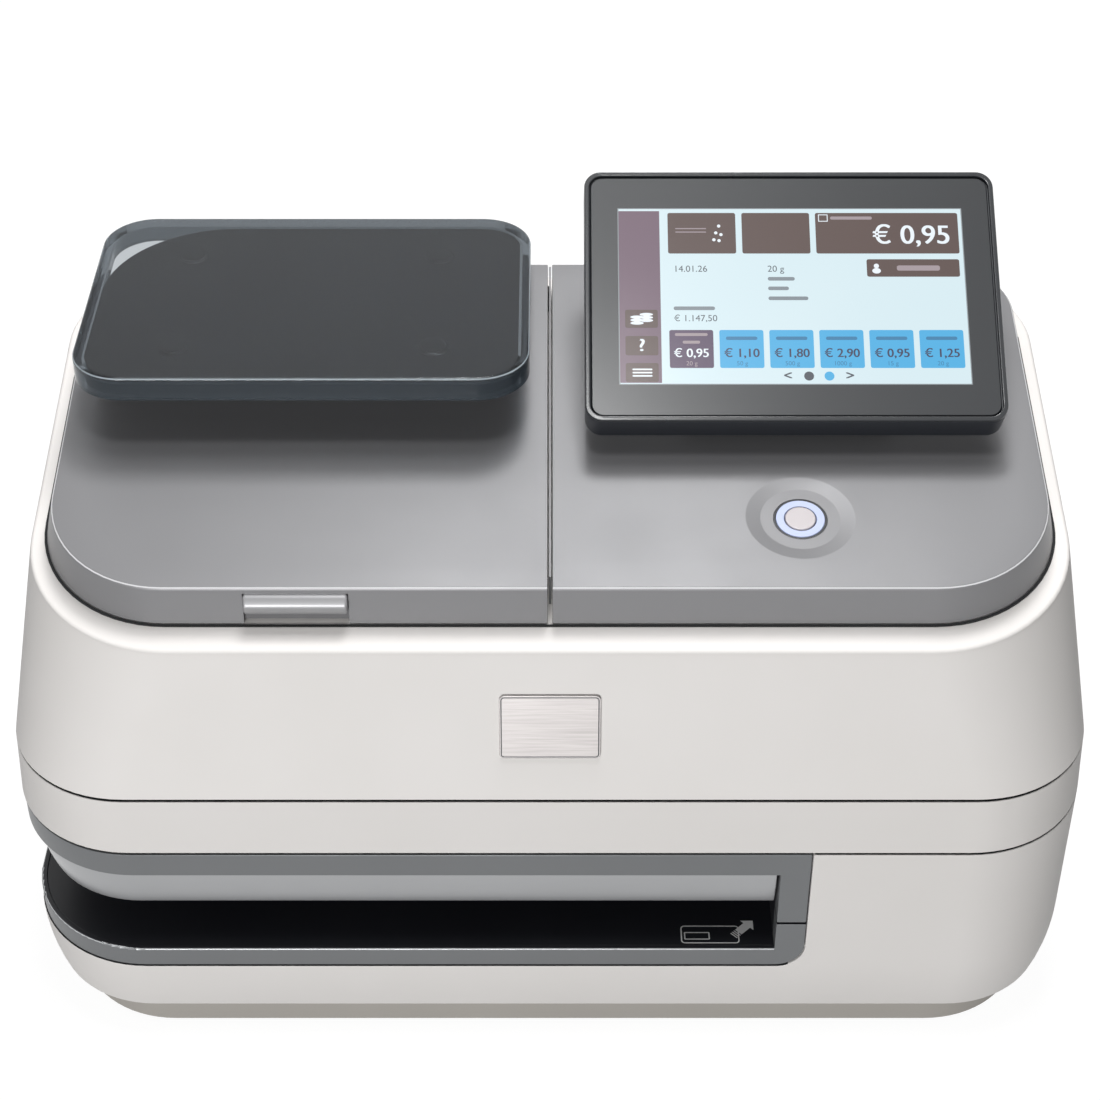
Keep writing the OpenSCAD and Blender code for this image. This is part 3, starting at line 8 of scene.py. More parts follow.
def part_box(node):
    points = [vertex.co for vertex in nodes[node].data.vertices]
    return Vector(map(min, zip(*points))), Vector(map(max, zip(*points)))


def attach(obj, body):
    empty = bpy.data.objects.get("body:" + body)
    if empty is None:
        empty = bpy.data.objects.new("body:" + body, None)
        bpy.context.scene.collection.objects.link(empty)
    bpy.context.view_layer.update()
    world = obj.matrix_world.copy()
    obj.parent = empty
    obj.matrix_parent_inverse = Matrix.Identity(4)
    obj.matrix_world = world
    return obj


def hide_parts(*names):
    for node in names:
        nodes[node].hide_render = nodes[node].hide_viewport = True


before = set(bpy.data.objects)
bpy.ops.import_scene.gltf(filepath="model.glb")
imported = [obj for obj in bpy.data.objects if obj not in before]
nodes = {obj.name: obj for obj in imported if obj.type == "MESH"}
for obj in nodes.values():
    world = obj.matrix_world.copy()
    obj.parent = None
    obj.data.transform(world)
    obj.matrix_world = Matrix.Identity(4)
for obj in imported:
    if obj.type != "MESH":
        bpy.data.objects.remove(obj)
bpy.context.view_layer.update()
scene = bpy.context.scene
mm = 0.001  # in metres
print("frame loaded:", len(nodes), "nodes")


# Camera at the photograph's viewing angle, with its place in metres

camera = {"place": (0.0, -0.6781, 0.6778), "pitch": 52.0, "lens": 76.909, "sensor": 36.0}

cameraData = bpy.data.cameras.new("camera")
cameraData.lens = camera["lens"]
cameraData.sensor_width = camera["sensor"]
cameraObject = bpy.data.objects.new("camera", cameraData)
cameraObject.location = camera["place"]
cameraObject.rotation_euler = (math.radians(camera["pitch"]), 0.0, 0.0)
scene.collection.objects.link(cameraObject)
scene.camera = cameraObject
print("camera placed")


# Small helpers for materials

def linear(hexColour):
    values = [int(hexColour[i:i + 2], 16) / 255 for i in (1, 3, 5)]
    return tuple(v / 12.92 if v <= 0.04045 else ((v + 0.055) / 1.055) ** 2.4 for v in values) + (1.0,)


def addNode(tree, kind, settings=None, links=None):
    node = tree.nodes.new(kind)
    for name, value in (settings or {}).items():
        if isinstance(name, int) or name in node.inputs:
            node.inputs[name].default_value = value
        else:
            setattr(node, name, value)
    for name, source in (links or {}).items():
        tree.links.new(source, node.inputs[name])
    return node


def newMaterial(name):
    material = bpy.data.materials.new(name)
    material.use_nodes = True
    tree = material.node_tree
    return material, tree, tree.nodes["Principled BSDF"]


def perMetre(sizeMm):
    return 1.0 / (sizeMm * mm)  # texture scale for a feature of that size


# Two tones over a cloudy pattern, and the pattern itself to vary the gloss with
def cloudyTones(tree, tones, cloudMm, detail):
    place = addNode(tree, "ShaderNodeTexCoord").outputs["Object"]
    clouds = addNode(tree, "ShaderNodeTexNoise", {"Scale": perMetre(cloudMm), "Detail": detail},
                     {"Vector": place}).outputs["Fac"]
    tone = addNode(tree, "ShaderNodeMix",
                   {"data_type": "RGBA", 6: linear(tones[0]), 7: linear(tones[1])}, {0: clouds})
    return tone.outputs[2], clouds


plastic = {"grainDetail": 3.0, "grainBump": 0.5, "patchMm": 45, "patchDetail": 2.0, "patchSpan": (0.3, 0.7),
           "smoother": 0.03, "rougher": 0.04, "coatRoughness": 0.12}


# Moulded plastic: spark-eroded grain breaks up the gloss, and broad patches vary it a little.
# The grain is drawn coarser than the real one, so that it shows.
def mouldedPlastic(name, colour, patchColour, roughness, grainMm, reliefMm,
                   metallic=0.0, coat=0.0, gloss=0.5):
    material, tree, shader = newMaterial(name)
    place = addNode(tree, "ShaderNodeTexCoord").outputs["Object"]
    grain = addNode(tree, "ShaderNodeTexNoise",
                    {"Scale": perMetre(grainMm), "Detail": plastic["grainDetail"]}, {"Vector": place})
    tone, patches = cloudyTones(tree, (colour, patchColour), plastic["patchMm"], plastic["patchDetail"])
    start, end = plastic["patchSpan"]
    polish = addNode(tree, "ShaderNodeMapRange",
                     {"From Min": start, "From Max": end, "To Min": roughness - plastic["smoother"],
                      "To Max": roughness + plastic["rougher"]}, {"Value": patches})
    bump = addNode(tree, "ShaderNodeBump", {"Strength": plastic["grainBump"], "Distance": reliefMm * mm},
                   {"Height": grain.outputs["Fac"]})
    tree.links.new(tone, shader.inputs["Base Color"])
    tree.links.new(polish.outputs["Result"], shader.inputs["Roughness"])
    tree.links.new(bump.outputs["Normal"], shader.inputs["Normal"])
    shader.inputs["Metallic"].default_value = metallic
    shader.inputs["Specular IOR Level"].default_value = gloss
    shader.inputs["Coat Weight"].default_value = coat
    shader.inputs["Coat Roughness"].default_value = plastic["coatRoughness"]
    return material


brushing = {"detail": 4.0, "bump": 0.25, "depthMm": 0.02, "rougher": 0.1, "smoother": 0.06}


# Brushed metal: lines along one axis streak both colour and gloss.
# They are drawn wider than real ones, so that they show.
def brushedMetal(name, colour, streakColour, roughness, lineMm, stretch, axis):
    material, tree, shader = newMaterial(name)
    place = addNode(tree, "ShaderNodeTexCoord").outputs["Object"]
    scale = [1.0, 1.0, 1.0]
    scale[axis] = 1.0 / stretch
    along = addNode(tree, "ShaderNodeMapping", {"Scale": scale}, {"Vector": place})
    lines = addNode(tree, "ShaderNodeTexNoise", {"Scale": perMetre(lineMm), "Detail": brushing["detail"]},
                    {"Vector": along.outputs["Vector"]}).outputs["Fac"]
    tone = addNode(tree, "ShaderNodeMix",
                   {"data_type": "RGBA", 6: linear(streakColour), 7: linear(colour)}, {0: lines})
    polish = addNode(tree, "ShaderNodeMapRange",
                     {"To Min": roughness + brushing["rougher"], "To Max": roughness - brushing["smoother"]},
                     {"Value": lines})
    bump = addNode(tree, "ShaderNodeBump",
                   {"Strength": brushing["bump"], "Distance": brushing["depthMm"] * mm}, {"Height": lines})
    tree.links.new(tone.outputs[2], shader.inputs["Base Color"])
    tree.links.new(polish.outputs["Result"], shader.inputs["Roughness"])
    tree.links.new(bump.outputs["Normal"], shader.inputs["Normal"])
    shader.inputs["Metallic"].default_value = 1.0
    return material


# Plastics: name, colour, patch colour, roughness, grain and relief in mm.
# Metals: name, colour, streak colour, roughness, line width in mm, stretch of the lines and their axis.
finish = {
    # pale mouldings: an even grey with a soft, broad sheen
    "casing": mouldedPlastic("mouldedAbsWarmGrey", "#e0dddb", "#dbd8d5", 0.5, 0.7, 0.02, gloss=0.25),
    # the tray: its own grey-beige, darkened further with painted shade for its place under the body
    "tray": mouldedPlastic("mouldedAbsTrayGreyShaded", "#a9a59f", "#a29e98", 0.5, 0.8, 0.03, gloss=0.3),
    # silver lacquer on plastic: a metallic grey that brightens towards the light
    "cover": mouldedPlastic("lacqueredAbsSilverGrey", "#7e7e80", "#78787a", 0.42, 0.6, 0.012, metallic=0.3),
    # the finger tab: a lighter copy of the cover lacquer, painted light for its sloped face
    "tab": mouldedPlastic("lacqueredAbsTabLitSilver", "#969698", "#8f8f91", 0.36, 0.6, 0.01, metallic=0.3),
    "trim": mouldedPlastic("satinAbsDarkGrey", "#6f7173", "#686a6c", 0.42, 0.7, 0.02, metallic=0.2),
    "band": mouldedPlastic("lacqueredAbsBandSilver", "#a5a6a8", "#9e9fa1", 0.32, 0.6, 0.012, metallic=0.5),
    # painted highlights: a thin bright line along rounded edges
    "coverEdgeHighlight": mouldedPlastic("lacquerEdgeHighlight", "#d0d0d2", "#cacacc", 0.25, 0.6, 0.001),
    "edge": mouldedPlastic("absEdgeHighlight", "#c4c6c8", "#b9bbbd", 0.25, 0.5, 0.001, metallic=0.5),
    # dark mouldings: near black to dark grey, with enough gloss to show their rounded edges
    "deck": mouldedPlastic("mouldedAbsBlack", "#1e1f24", "#191a1f", 0.4, 0.8, 0.02),
    "charcoal": mouldedPlastic("mouldedAbsCharcoal", "#1b1e24", "#171a20", 0.38, 0.6, 0.006),
    "carrier": mouldedPlastic("mouldedAbsSmoothBlack", "#15181d", "#12151a", 0.45, 0.6, 0.001),
    "rim": mouldedPlastic("polishedAbsBlack", "#1b1e22", "#181b1f", 0.26, 0.5, 0.004, coat=0.3),
    "inner": mouldedPlastic("mouldedAbsInnerGrey", "#35383d", "#2f3237", 0.5, 0.8, 0.03),
    "cartridge": mouldedPlastic("mouldedPpCartridge", "#2b2e34", "#25282e", 0.36, 0.6, 0.012),
    "station": mouldedPlastic("mouldedPomGrey", "#4b4f55", "#44484e", 0.48, 0.8, 0.02),
    # levers inside: a plain strong colour
    "blue": mouldedPlastic("mouldedPomBlue", "#3f6fae", "#3966a2", 0.36, 0.6, 0.015),
    "yellow": mouldedPlastic("mouldedPomYellow", "#d8b23a", "#cfa932", 0.4, 0.6, 0.015),
    # painted shade for seam gaps and the foot of the covers, and rubber: dull black
    "seamShade": mouldedPlastic("paintedShadeBlack", "#1a1b1d", "#141517", 0.8, 0.9, 0.05),
    "rubber": mouldedPlastic("mouldedNitrileRubber", "#202224", "#1b1d1f", 0.7, 0.9, 0.05),
    # solder mask: deep green with a gloss, pearl key: a milky shine, printed ink: flat white
    "board": mouldedPlastic("solderMaskGreen", "#2f6b4a", "#2a6143", 0.34, 1.2, 0.02),
    "pearl": mouldedPlastic("polishedPearlPmma", "#b4aeb0", "#aea8aa", 0.3, 0.5, 0.003, coat=0.2),
    "ink": mouldedPlastic("padPrintedInkWhite", "#f4f4f4", "#ececec", 0.5, 0.4, 0.004),
    # metals: light and dark streaks, long where they are brushed and short on plated sheet
    "badge": brushedMetal("brushedAluminiumPlate", "#a9a5a4", "#807d7c", 0.36, 0.5, 40.0, 0),
    "steel": brushedMetal("groundSteel", "#cfd2d5", "#bcc0c4", 0.24, 0.3, 30.0, 0),
    "sheet": brushedMetal("zincPlatedSheet", "#b9bdc2", "#a9aeb4", 0.36, 0.9, 6.0, 2),
    "aluminium": brushedMetal("milledAluminium", "#c9ccd0", "#b7bbc0", 0.32, 0.5, 20.0, 0),
    "motor": brushedMetal("turnedMotorCan", "#7f848a", "#6e7379", 0.38, 0.5, 20.0, 2),
}
print("materials made:", len(finish))


# Small helpers for shapes, all in millimetres in the frame of the part

body = {"width": 377.0, "front": -106.0, "cornerRadius": 44.0, "slope": 10.5, "shoulderSetBack": 15.0,
        "shoulderHeight": 176.5}


def atHeight(height):
    return Matrix.Translation((0.0, 0.0, height))


def onSlope(height):
    start = Matrix.Translation((0.0, body["front"] + body["shoulderSetBack"], body["shoulderHeight"]))
    return start @ Matrix.Rotation(math.radians(body["slope"]), 4, "X") @ atHeight(height)


def roundCorners(bm, corners, radius, segments):
    bmesh.ops.bevel(bm, geom=corners, offset=radius, offset_type="OFFSET", affect="VERTICES",
                    segments=segments, profile=0.5, material=-1, clamp_overlap=False)


def roundEdges(bm, edges, width):
    bmesh.ops.bevel(bm, geom=edges, offset=width, offset_type="OFFSET", affect="EDGES",
                    segments=2, profile=0.5, material=-1, clamp_overlap=False)


# Closed loop of edges through the given corners, with a radius on each span of corners that is named
def outlineLoop(bm, outline, roundings, place, segments):
    before = set(bm.faces)
    corners = [bm.verts.new((x, y, 0.0)) for x, y in outline]
    bm.faces.new(corners)
    for first, last, radius in roundings:
        roundCorners(bm, corners[first:last], radius, segments)
    face = (set(bm.faces) - before).pop()
    edges = list(face.edges)
    bmesh.ops.transform(bm, matrix=place, verts=list(face.verts))
    bm.faces.remove(face)
    return edges


def roundedLoop(bm, width, front, back, frontRadius, rearRadius, place, segments=16):
    outline = [(-width / 2, front), (width / 2, front), (width / 2, back), (-width / 2, back)]
    return outlineLoop(bm, outline, ((0, 2, frontRadius), (2, 4, rearRadius)), place, segments)


# One rounded loop for each row of inset and height
def insetLoops(bm, size, rows, placeAt, segments=16):
    width, front, back, frontRadius, rearRadius = size
    loops = []
    for inset, height in rows:
        loops.append(roundedLoop(bm, width - 2 * inset, front + inset, back - inset,
                                 frontRadius - inset, rearRadius - inset, placeAt(height), segments))
    return loops


# Rows of inset and drop that turn a quarter round an edge, from its foot to its top
def quarterRound(radius, steps):
    turns = [math.radians(90 * step / steps) for step in range(steps + 1)]
    return [(radius * (1 - math.cos(turn)), radius * (math.sin(turn) - 1)) for turn in turns]


def bridgeAll(bm, loops):
    strips = []
    for lower, upper in zip(loops, loops[1:]):
        strips.append(bmesh.ops.bridge_loops(bm, edges=lower + upper)["faces"])
    return strips


def addBlock(bm, low, high, place=Matrix.Identity(4)):
    size = Vector(high) - Vector(low)
    middle = (Vector(high) + Vector(low)) / 2
    made = bmesh.ops.create_cube(bm, size=1.0)
    grow = Matrix.Diagonal((*size, 1.0))
    bmesh.ops.transform(bm, matrix=place @ Matrix.Translation(middle) @ grow, verts=made["verts"])


def addBarX(bm, x0, x1, y, z, radius, place=Matrix.Identity(4)):
    made = bmesh.ops.create_cone(bm, cap_ends=True, segments=32, radius1=radius, radius2=radius,
                                 depth=x1 - x0)
    turn = Matrix.Translation(((x0 + x1) / 2, y, z)) @ Matrix.Rotation(math.radians(90), 4, "Y")
    bmesh.ops.transform(bm, matrix=place @ turn, verts=made["verts"])


softening = {"weld": 0.002, "flatAngle": 0.5, "edgeAngle": 30.0, "sharpAngle": 32.0}


# Copy of a CAD node in millimetres, cleaned of its fine triangles and rounded along its edges
def softCopy(nodeName, width):
    bm = bmesh.new()
    bm.from_mesh(nodes[nodeName].data)
    bmesh.ops.transform(bm, matrix=Matrix.Scale(1 / mm, 4), verts=bm.verts)
    bmesh.ops.remove_doubles(bm, verts=bm.verts, dist=softening["weld"])
    bmesh.ops.dissolve_limit(bm, angle_limit=math.radians(softening["flatAngle"]), verts=bm.verts,
                             edges=bm.edges)
    limit = math.radians(softening["edgeAngle"])
    sharp = [edge for edge in bm.edges if edge.is_manifold and edge.calc_face_angle() > limit]
    roundEdges(bm, sharp, width)
    return bm


def makePiece(name, bm, materials, bodyName, replaced=()):
    bmesh.ops.transform(bm, matrix=Matrix.Scale(mm, 4), verts=bm.verts)
    mesh = bpy.data.meshes.new(name)
    bm.to_mesh(mesh)
    bm.free()
    for material in materials:
        mesh.materials.append(material)
    mesh.shade_smooth()
    mesh.set_sharp_from_angle(angle=math.radians(softening["sharpAngle"]))
    piece = bpy.data.objects.new(name, mesh)
    scene.collection.objects.link(piece)
    evenNormals = piece.modifiers.new("evenNormals", "WEIGHTED_NORMAL")
    evenNormals.keep_sharp = True
    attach(piece, bodyName)
    if replaced:
        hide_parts(*replaced)


# Upper casing, lofted from the level seam to the sloped shoulder

shell = {"seamHeight": 122.5, "seamInset": 1.2, "seamRound": 0.4, "shoulderWidth": 356.0,
         "shoulderLength": 184.08, "frontRadius": 52.0, "rearRadius": 35.0, "edge": 1.5, "wall": 2.8,
         "bayLeft": -162.0, "bayRight": -12.0, "bayFront": 23.7, "bayRadius": 8.0, "troughFront": 163.98,
         "troughBack": 178.18, "troughLeft": -173.1, "troughRight": 0.0, "troughRadius": 28.6,
         "troughSteps": 8, "keyX": 84.3, "keyY": 46.2, "keyHole": 14.2}
hinge = {"y": 167.98, "z": 6.0, "radius": 4.0, "lugs": (-140.0, -30.0), "lugWidth": 8.0, "lugWall": 3.0,
         "lugFoot": -9.0, "lugFloor": -6.0, "lugGap": 1.4, "earOffset": 6.4, "earWidth": 4.0}


def keyCircle(bm, radius, height, segments):
    circle = bmesh.ops.create_circle(bm, segments=segments, radius=radius)["verts"]
    place = onSlope(height) @ Matrix.Translation((shell["keyX"], shell["keyY"], 0))
    bmesh.ops.transform(bm, matrix=place, verts=circle)
    return list({edge for vert in circle for edge in vert.link_edges})


# Opening under the left cover: the ink bay in front and the trough for the hinge behind it
def bayLoop(bm):
    radius, steps = shell["troughRadius"], shell["troughSteps"]
    rise = math.asin((shell["troughFront"] - shell["troughBack"] + radius) / radius)
    quarter = math.radians(90)
    turns = [quarter + (quarter - rise) * step / steps for step in range(steps + 1)]
    outline = [(shell["bayLeft"], shell["bayFront"]), (shell["bayRight"], shell["bayFront"]),
               (shell["bayRight"], shell["troughFront"]), (shell["troughRight"], shell["troughFront"]),
               (shell["troughRight"], shell["troughBack"])]
    outline += [(shell["troughLeft"] + radius * (1 + math.cos(turn)),
                 shell["troughBack"] - radius * (1 - math.sin(turn))) for turn in turns]
    outline.append((shell["bayLeft"], shell["troughFront"]))
    return outlineLoop(bm, outline, ((0, 2, shell["bayRadius"]),), onSlope(0), segments=8)


def addHingeLugs(bm):
    half = hinge["lugWidth"] / 2
    near = hinge["y"] - hinge["radius"]
    back = shell["shoulderLength"] - hinge["lugGap"]
    for x in hinge["lugs"]:
        foot = (x - half, near, hinge["lugFoot"])
        addBlock(bm, foot, (x + half, near + hinge["lugWall"], hinge["z"]), onSlope(0))
        addBlock(bm, foot, (x + half, back, hinge["lugFloor"]), onSlope(0))
        addBarX(bm, x - half, x + half, hinge["y"], hinge["z"], hinge["radius"], onSlope(0))


def makeUpperShell():
    bm = bmesh.new()
    seamSize = (body["width"], body["front"], -body["front"], body["cornerRadius"], body["cornerRadius"])
    seamRows = [(shell["seamInset"] + shell["seamRound"], shell["seamHeight"]),
                (shell["seamInset"], shell["seamHeight"] + shell["seamRound"])]
    shoulderSize = (shell["shoulderWidth"], 0.0, shell["shoulderLength"], shell["frontRadius"],
                    shell["rearRadius"])
    loops = insetLoops(bm, seamSize, seamRows, atHeight)
    loops += insetLoops(bm, shoulderSize, quarterRound(shell["edge"], 5), onSlope)
    bridgeAll(bm, loops)
    openings = bayLoop(bm) + keyCircle(bm, shell["keyHole"], 0, segments=48)
    bmesh.ops.triangle_fill(bm, edges=loops[-1] + openings, use_beauty=True)
    bmesh.ops.recalc_face_normals(bm, faces=bm.faces)
    bmesh.ops.solidify(bm, geom=bm.faces[:], thickness=shell["wall"])
    addHingeLugs(bm)
    return bm


makePiece("upper_casing", makeUpperShell(), [finish["casing"]], "chassis", ["upper_shell"])
print("upper casing made")


# Covers on the slope: drafted sides, a rounded upper edge and a slightly crowned top

cover = {"width": 345.0, "front": 11.7, "back": 177.58, "frontRadius": 45.0, "rearRadius": 28.0,
         "lift": 0.4, "foot": 0.4, "height": 15.0, "draft": 3.1, "edge": 1.2, "edgeDrop": 0.28,
         "crown": ((4.0, 0.14), (9.0, 0.0)), "wall": 2.5, "wallReach": 3.0, "wallFacing": 0.5,
         "halfSeam": 0.8, "seamRound": 0.3, "gripX": -83.8, "gripWidth": 34.9, "gripTop": 12.5,
         "dimple": ((18.7, 0.0), (18.3, 0.03), (13.7, 0.77), (13.3, 0.8), (9.2, 0.8))}  # radius, depth
cutting = {"snap": 0.001, "onPlane": 0.01}
coverSize = (cover["width"], cover["front"], cover["back"], cover["frontRadius"], cover["rearRadius"])


def coverLoops(bm):
    edgeTop = cover["height"] - cover["edgeDrop"]
    edgeInset = cover["draft"] + cover["edge"]
    rows = [(cover["foot"], cover["lift"]), (0.0, cover["lift"] + cover["foot"])]
    rows += [(cover["draft"] + inset, edgeTop + drop) for inset, drop in quarterRound(cover["edge"], 4)]
    rows += [(edgeInset + inward, cover["height"] - drop) for inward, drop in cover["crown"]]
    loops = insetLoops(bm, coverSize, rows, onSlope)
    strips = bridgeAll(bm, loops)
    for face in strips[4]:  # the middle of the rounded upper edge, with a painted highlight as a brighter line
        face.material_index = 1
    return loops


def halveCover(bm, side):
    seamX = side * cover["halfSeam"]
    geometry = bm.verts[:] + bm.edges[:] + bm.faces[:]
    bmesh.ops.bisect_plane(bm, geom=geometry, dist=cutting["snap"], plane_co=(seamX, 0, 0),
                           plane_no=(side, 0, 0), clear_inner=True, clear_outer=False)
    seam = [edge for edge in bm.edges if edge.is_boundary
            and all(abs(vert.co.x - seamX) < cutting["onPlane"] for vert in edge.verts)]
    ends = [vert for vert in {vert for edge in seam for vert in edge.verts}
            if sum(edge in seam for edge in vert.link_edges) == 1]
    closing = bm.edges.new(ends)
    bmesh.ops.contextual_create(bm, geom=seam + [closing])
    bmesh.ops.recalc_face_normals(bm, faces=bm.faces)
    roundEdges(bm, seam, cover["seamRound"])


def gripSpan(gap=0.0):
    half = cover["gripWidth"] / 2 - gap
    return cover["gripX"] - half, cover["gripX"] + half


# Notch in the front wall of the left cover, where the finger tab sits
def cutNotch(bm):
    low, high = gripSpan()
    reach = cover["front"] + cover["wallReach"]
    cuts = (((low, 0, 0), (1, 0, 0)), ((high, 0, 0), (1, 0, 0)), ((0, 0, cover["gripTop"]), (0, 0, 1)))
    for point, normal in cuts:
        wall = [face for face in bm.faces if face.calc_center_median().y < reach
                and face.normal.y < -cover["wallFacing"]]
        edges = list({edge for face in wall for edge in face.edges})
        verts = list({vert for face in wall for vert in face.verts})
        bmesh.ops.bisect_plane(bm, geom=wall + edges + verts, dist=cutting["snap"], plane_co=point,
                               plane_no=normal)
    notch = []
    for face in bm.faces:
        middle = face.calc_center_median()
        if low < middle.x < high and middle.z < cover["gripTop"] and middle.y < reach:
            notch.append(face)
    bmesh.ops.delete(bm, geom=notch, context="FACES")


ribs = {"top": 12.5, "root": 0.5, "height": 4.0, "width": 1.6, "front": 35.7, "back": 155.98, "along": 4,
        "across": 3}


def addCoverRibs(bm):
    low, high = ribs["top"] - ribs["height"], ribs["top"] + ribs["root"]
    for k in range(1, ribs["along"] + 1):
        x = shell["bayLeft"] + (shell["bayRight"] - shell["bayLeft"]) * k / (ribs["along"] + 1)
        addBlock(bm, (x, ribs["front"], low), (x + ribs["width"], ribs["back"], high))
    for k in range(1, ribs["across"] + 1):
        y = cover["front"] + (ribs["back"] - cover["front"]) * k / (ribs["across"] + 1)
        addBlock(bm, (shell["bayLeft"], y, low), (shell["bayRight"], y + ribs["width"], high))


def addHingeEars(bm):
    near, far = hinge["y"] - hinge["radius"], hinge["y"] + hinge["radius"]
    for x in hinge["lugs"]:
        for side in (-1, 1):
            left = x + side * hinge["earOffset"] - hinge["earWidth"] / 2
            right = left + hinge["earWidth"]
            addBarX(bm, left, right, hinge["y"], hinge["z"], hinge["radius"])
            addBlock(bm, (left, near, hinge["z"]), (right, far, ribs["top"] + ribs["root"]))


def makeLeftCover():
    bm = bmesh.new()
    loops = coverLoops(bm)
    bmesh.ops.contextual_create(bm, geom=loops[-1])
    halveCover(bm, -1)
    bmesh.ops.transform(bm, matrix=onSlope(0).inverted(), verts=bm.verts)
    cutNotch(bm)
    bmesh.ops.solidify(bm, geom=bm.faces[:], thickness=cover["wall"])
    addHingeEars(bm)
    addCoverRibs(bm)
    bmesh.ops.transform(bm, matrix=onSlope(0), verts=bm.verts)
    return bm


def makeRightCover():
    bm = bmesh.new()
    loops = coverLoops(bm)
    rings = [keyCircle(bm, radius, cover["height"] - depth, segments=96)
             for radius, depth in cover["dimple"]]
    bmesh.ops.triangle_fill(bm, edges=loops[-1] + rings[0], use_beauty=True)
    bridgeAll(bm, rings)
    halveCover(bm, 1)
    bmesh.ops.solidify(bm, geom=bm.faces[:], thickness=cover["wall"])
    return bm


strip = {"halfWidth": 0.34, "frontGap": 9.0, "backGap": 4.0, "below": 1.1, "round": 0.12}


# Strip on the casing that closes the gap between the covers from below
def makeSeamStrip():
    bm = bmesh.new()
    addBlock(bm, (-strip["halfWidth"], cover["front"] + strip["frontGap"], 0.0),
             (strip["halfWidth"], cover["back"] - strip["backGap"], cover["height"] - strip["below"]),
             onSlope(0))
    roundEdges(bm, bm.edges[:], strip["round"])
    return bm


footShade = {"outer": 1.0, "inner": 0.05, "height": 0.3, "back": 150.0}


# Black strip on the ledge, along the foot of the covers in front and at the sides: painted shadow under the
# covers
def makeCoverFootShade():
    bm = bmesh.new()
    rows = ((-footShade["inner"], 0.0), (-footShade["outer"], 0.0), (-footShade["outer"], footShade["height"]),
            (-footShade["inner"], footShade["height"]))
    loops = insetLoops(bm, coverSize, rows, atHeight)
    bridgeAll(bm, loops + loops[:1])
    bmesh.ops.bisect_plane(bm, geom=bm.verts[:] + bm.edges[:] + bm.faces[:], dist=cutting["snap"],
                           plane_co=(0, footShade["back"], 0), plane_no=(0, 1, 0), clear_outer=True)
    bmesh.ops.holes_fill(bm, edges=bm.edges)
    bmesh.ops.recalc_face_normals(bm, faces=bm.faces)
    bmesh.ops.transform(bm, matrix=onSlope(0), verts=bm.verts)
    return bm


tab = {"round": 1.0, "sideGap": 0.2, "front": 2.2, "back": 3.6, "foot": 0.7, "top": 8.0}


# Finger tab with the set-back wall that closes the notch under it
def makeFingerTab():
    bm = softCopy("cover_grip", tab["round"])
    low, high = gripSpan(tab["sideGap"])
    before = set(bm.faces)
    addBlock(bm, (low, cover["front"] + tab["front"], tab["foot"]),
             (high, cover["front"] + tab["back"], tab["top"]), onSlope(0))
    for face in set(bm.faces) - before:
        face.material_index = 1
    return bm


tabFinish = [finish["tab"], finish["cover"]]
coverFinish = [finish["cover"], finish["coverEdgeHighlight"]]
makePiece("finger_tab", makeFingerTab(), tabFinish, "left_cover", ["cover_grip"])
makePiece("cover_foot_shade", makeCoverFootShade(), [finish["seamShade"]], "chassis")
makePiece("seam_strip", makeSeamStrip(), [finish["cover"]], "chassis")
makePiece("left_flap", makeLeftCover(), coverFinish, "left_cover", ["left_cover"])
makePiece("right_panel", makeRightCover(), coverFinish, "chassis", ["right_cover"])
print("covers made")


# Pieces that keep their CAD shape and get rounded edges

softened = [
    # piece, node, edge radius, finish, body, slot
    ("plinth", "bottom_tray", 0.8, "tray", "chassis", "tray"),
    ("letter_bed", "letter_deck", 0.4, "deck", "chassis", "deck"),
    ("mouth_band", "slot_band", 0.4, "band", "chassis", "silver_trim"),
    ("upper_trim", "slot_lip", 0.5, "trim", "chassis", "dark_trim"),
    ("display_back", "display_housing", 0.5, "charcoal", "display", "dark_plastic"),
    ("display_frame", "display_rim", 0.5, "rim", "display", "dark_plastic"),
    ("key_bezel", "button_bezel", 0.25, "charcoal", "chassis", "dark_plastic"),
    ("key_cap", "power_button", 0.6, "pearl", "power_button", "pearl"),
    ("scale_wedge", "scale_pedestal", 0.8, "charcoal", "left_cover", "dark_plastic"),
    ("scale_carrier", "plate_carrier", 0.6, "carrier", "weighing_plate", "dark_plastic"),
]
for pieceName, nodeName, radius, finishName, bodyName, slotName in softened:
    makePiece(pieceName, softCopy(nodeName, radius), [finish[finishName]], bodyName, [nodeName])
print("softened pieces made:", len(softened))


# Casing rings with black painted shade on the faces inside each seam, and the lower trim with a painted
# highlight along its upper edge

seams = {"casingRound": 0.4, "lower": 97.45, "upper": 121.45, "trimGap": 0.5, "trimRound": 0.2,
         "trimHighlightBand": (49.5, 49.8), "ledgeFacing": 0.5, "edgeFacing": 0.2, "topFacing": 0.7}


def makeLowerCasing():
    bm = softCopy("base_shell", seams["casingRound"])
    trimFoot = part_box("deck_lip")[0][2] / mm
    # faces inside the seam, and the floor just under the trim, take the painted shade
    for face in bm.faces:
        height = face.calc_center_median().z
        shadeUnderTrim = face.normal.z > seams["ledgeFacing"] and abs(height - trimFoot) < seams["trimGap"]
        face.material_index = 1 if height > seams["lower"] or shadeUnderTrim else 0
    return bm


def makeSeamBand():
    bm = softCopy("middle_band", seams["casingRound"])
    for face in bm.faces:
        # faces inside the seam take the painted shade
        face.material_index = 1 if face.calc_center_median().z > seams["upper"] else 0
    return bm


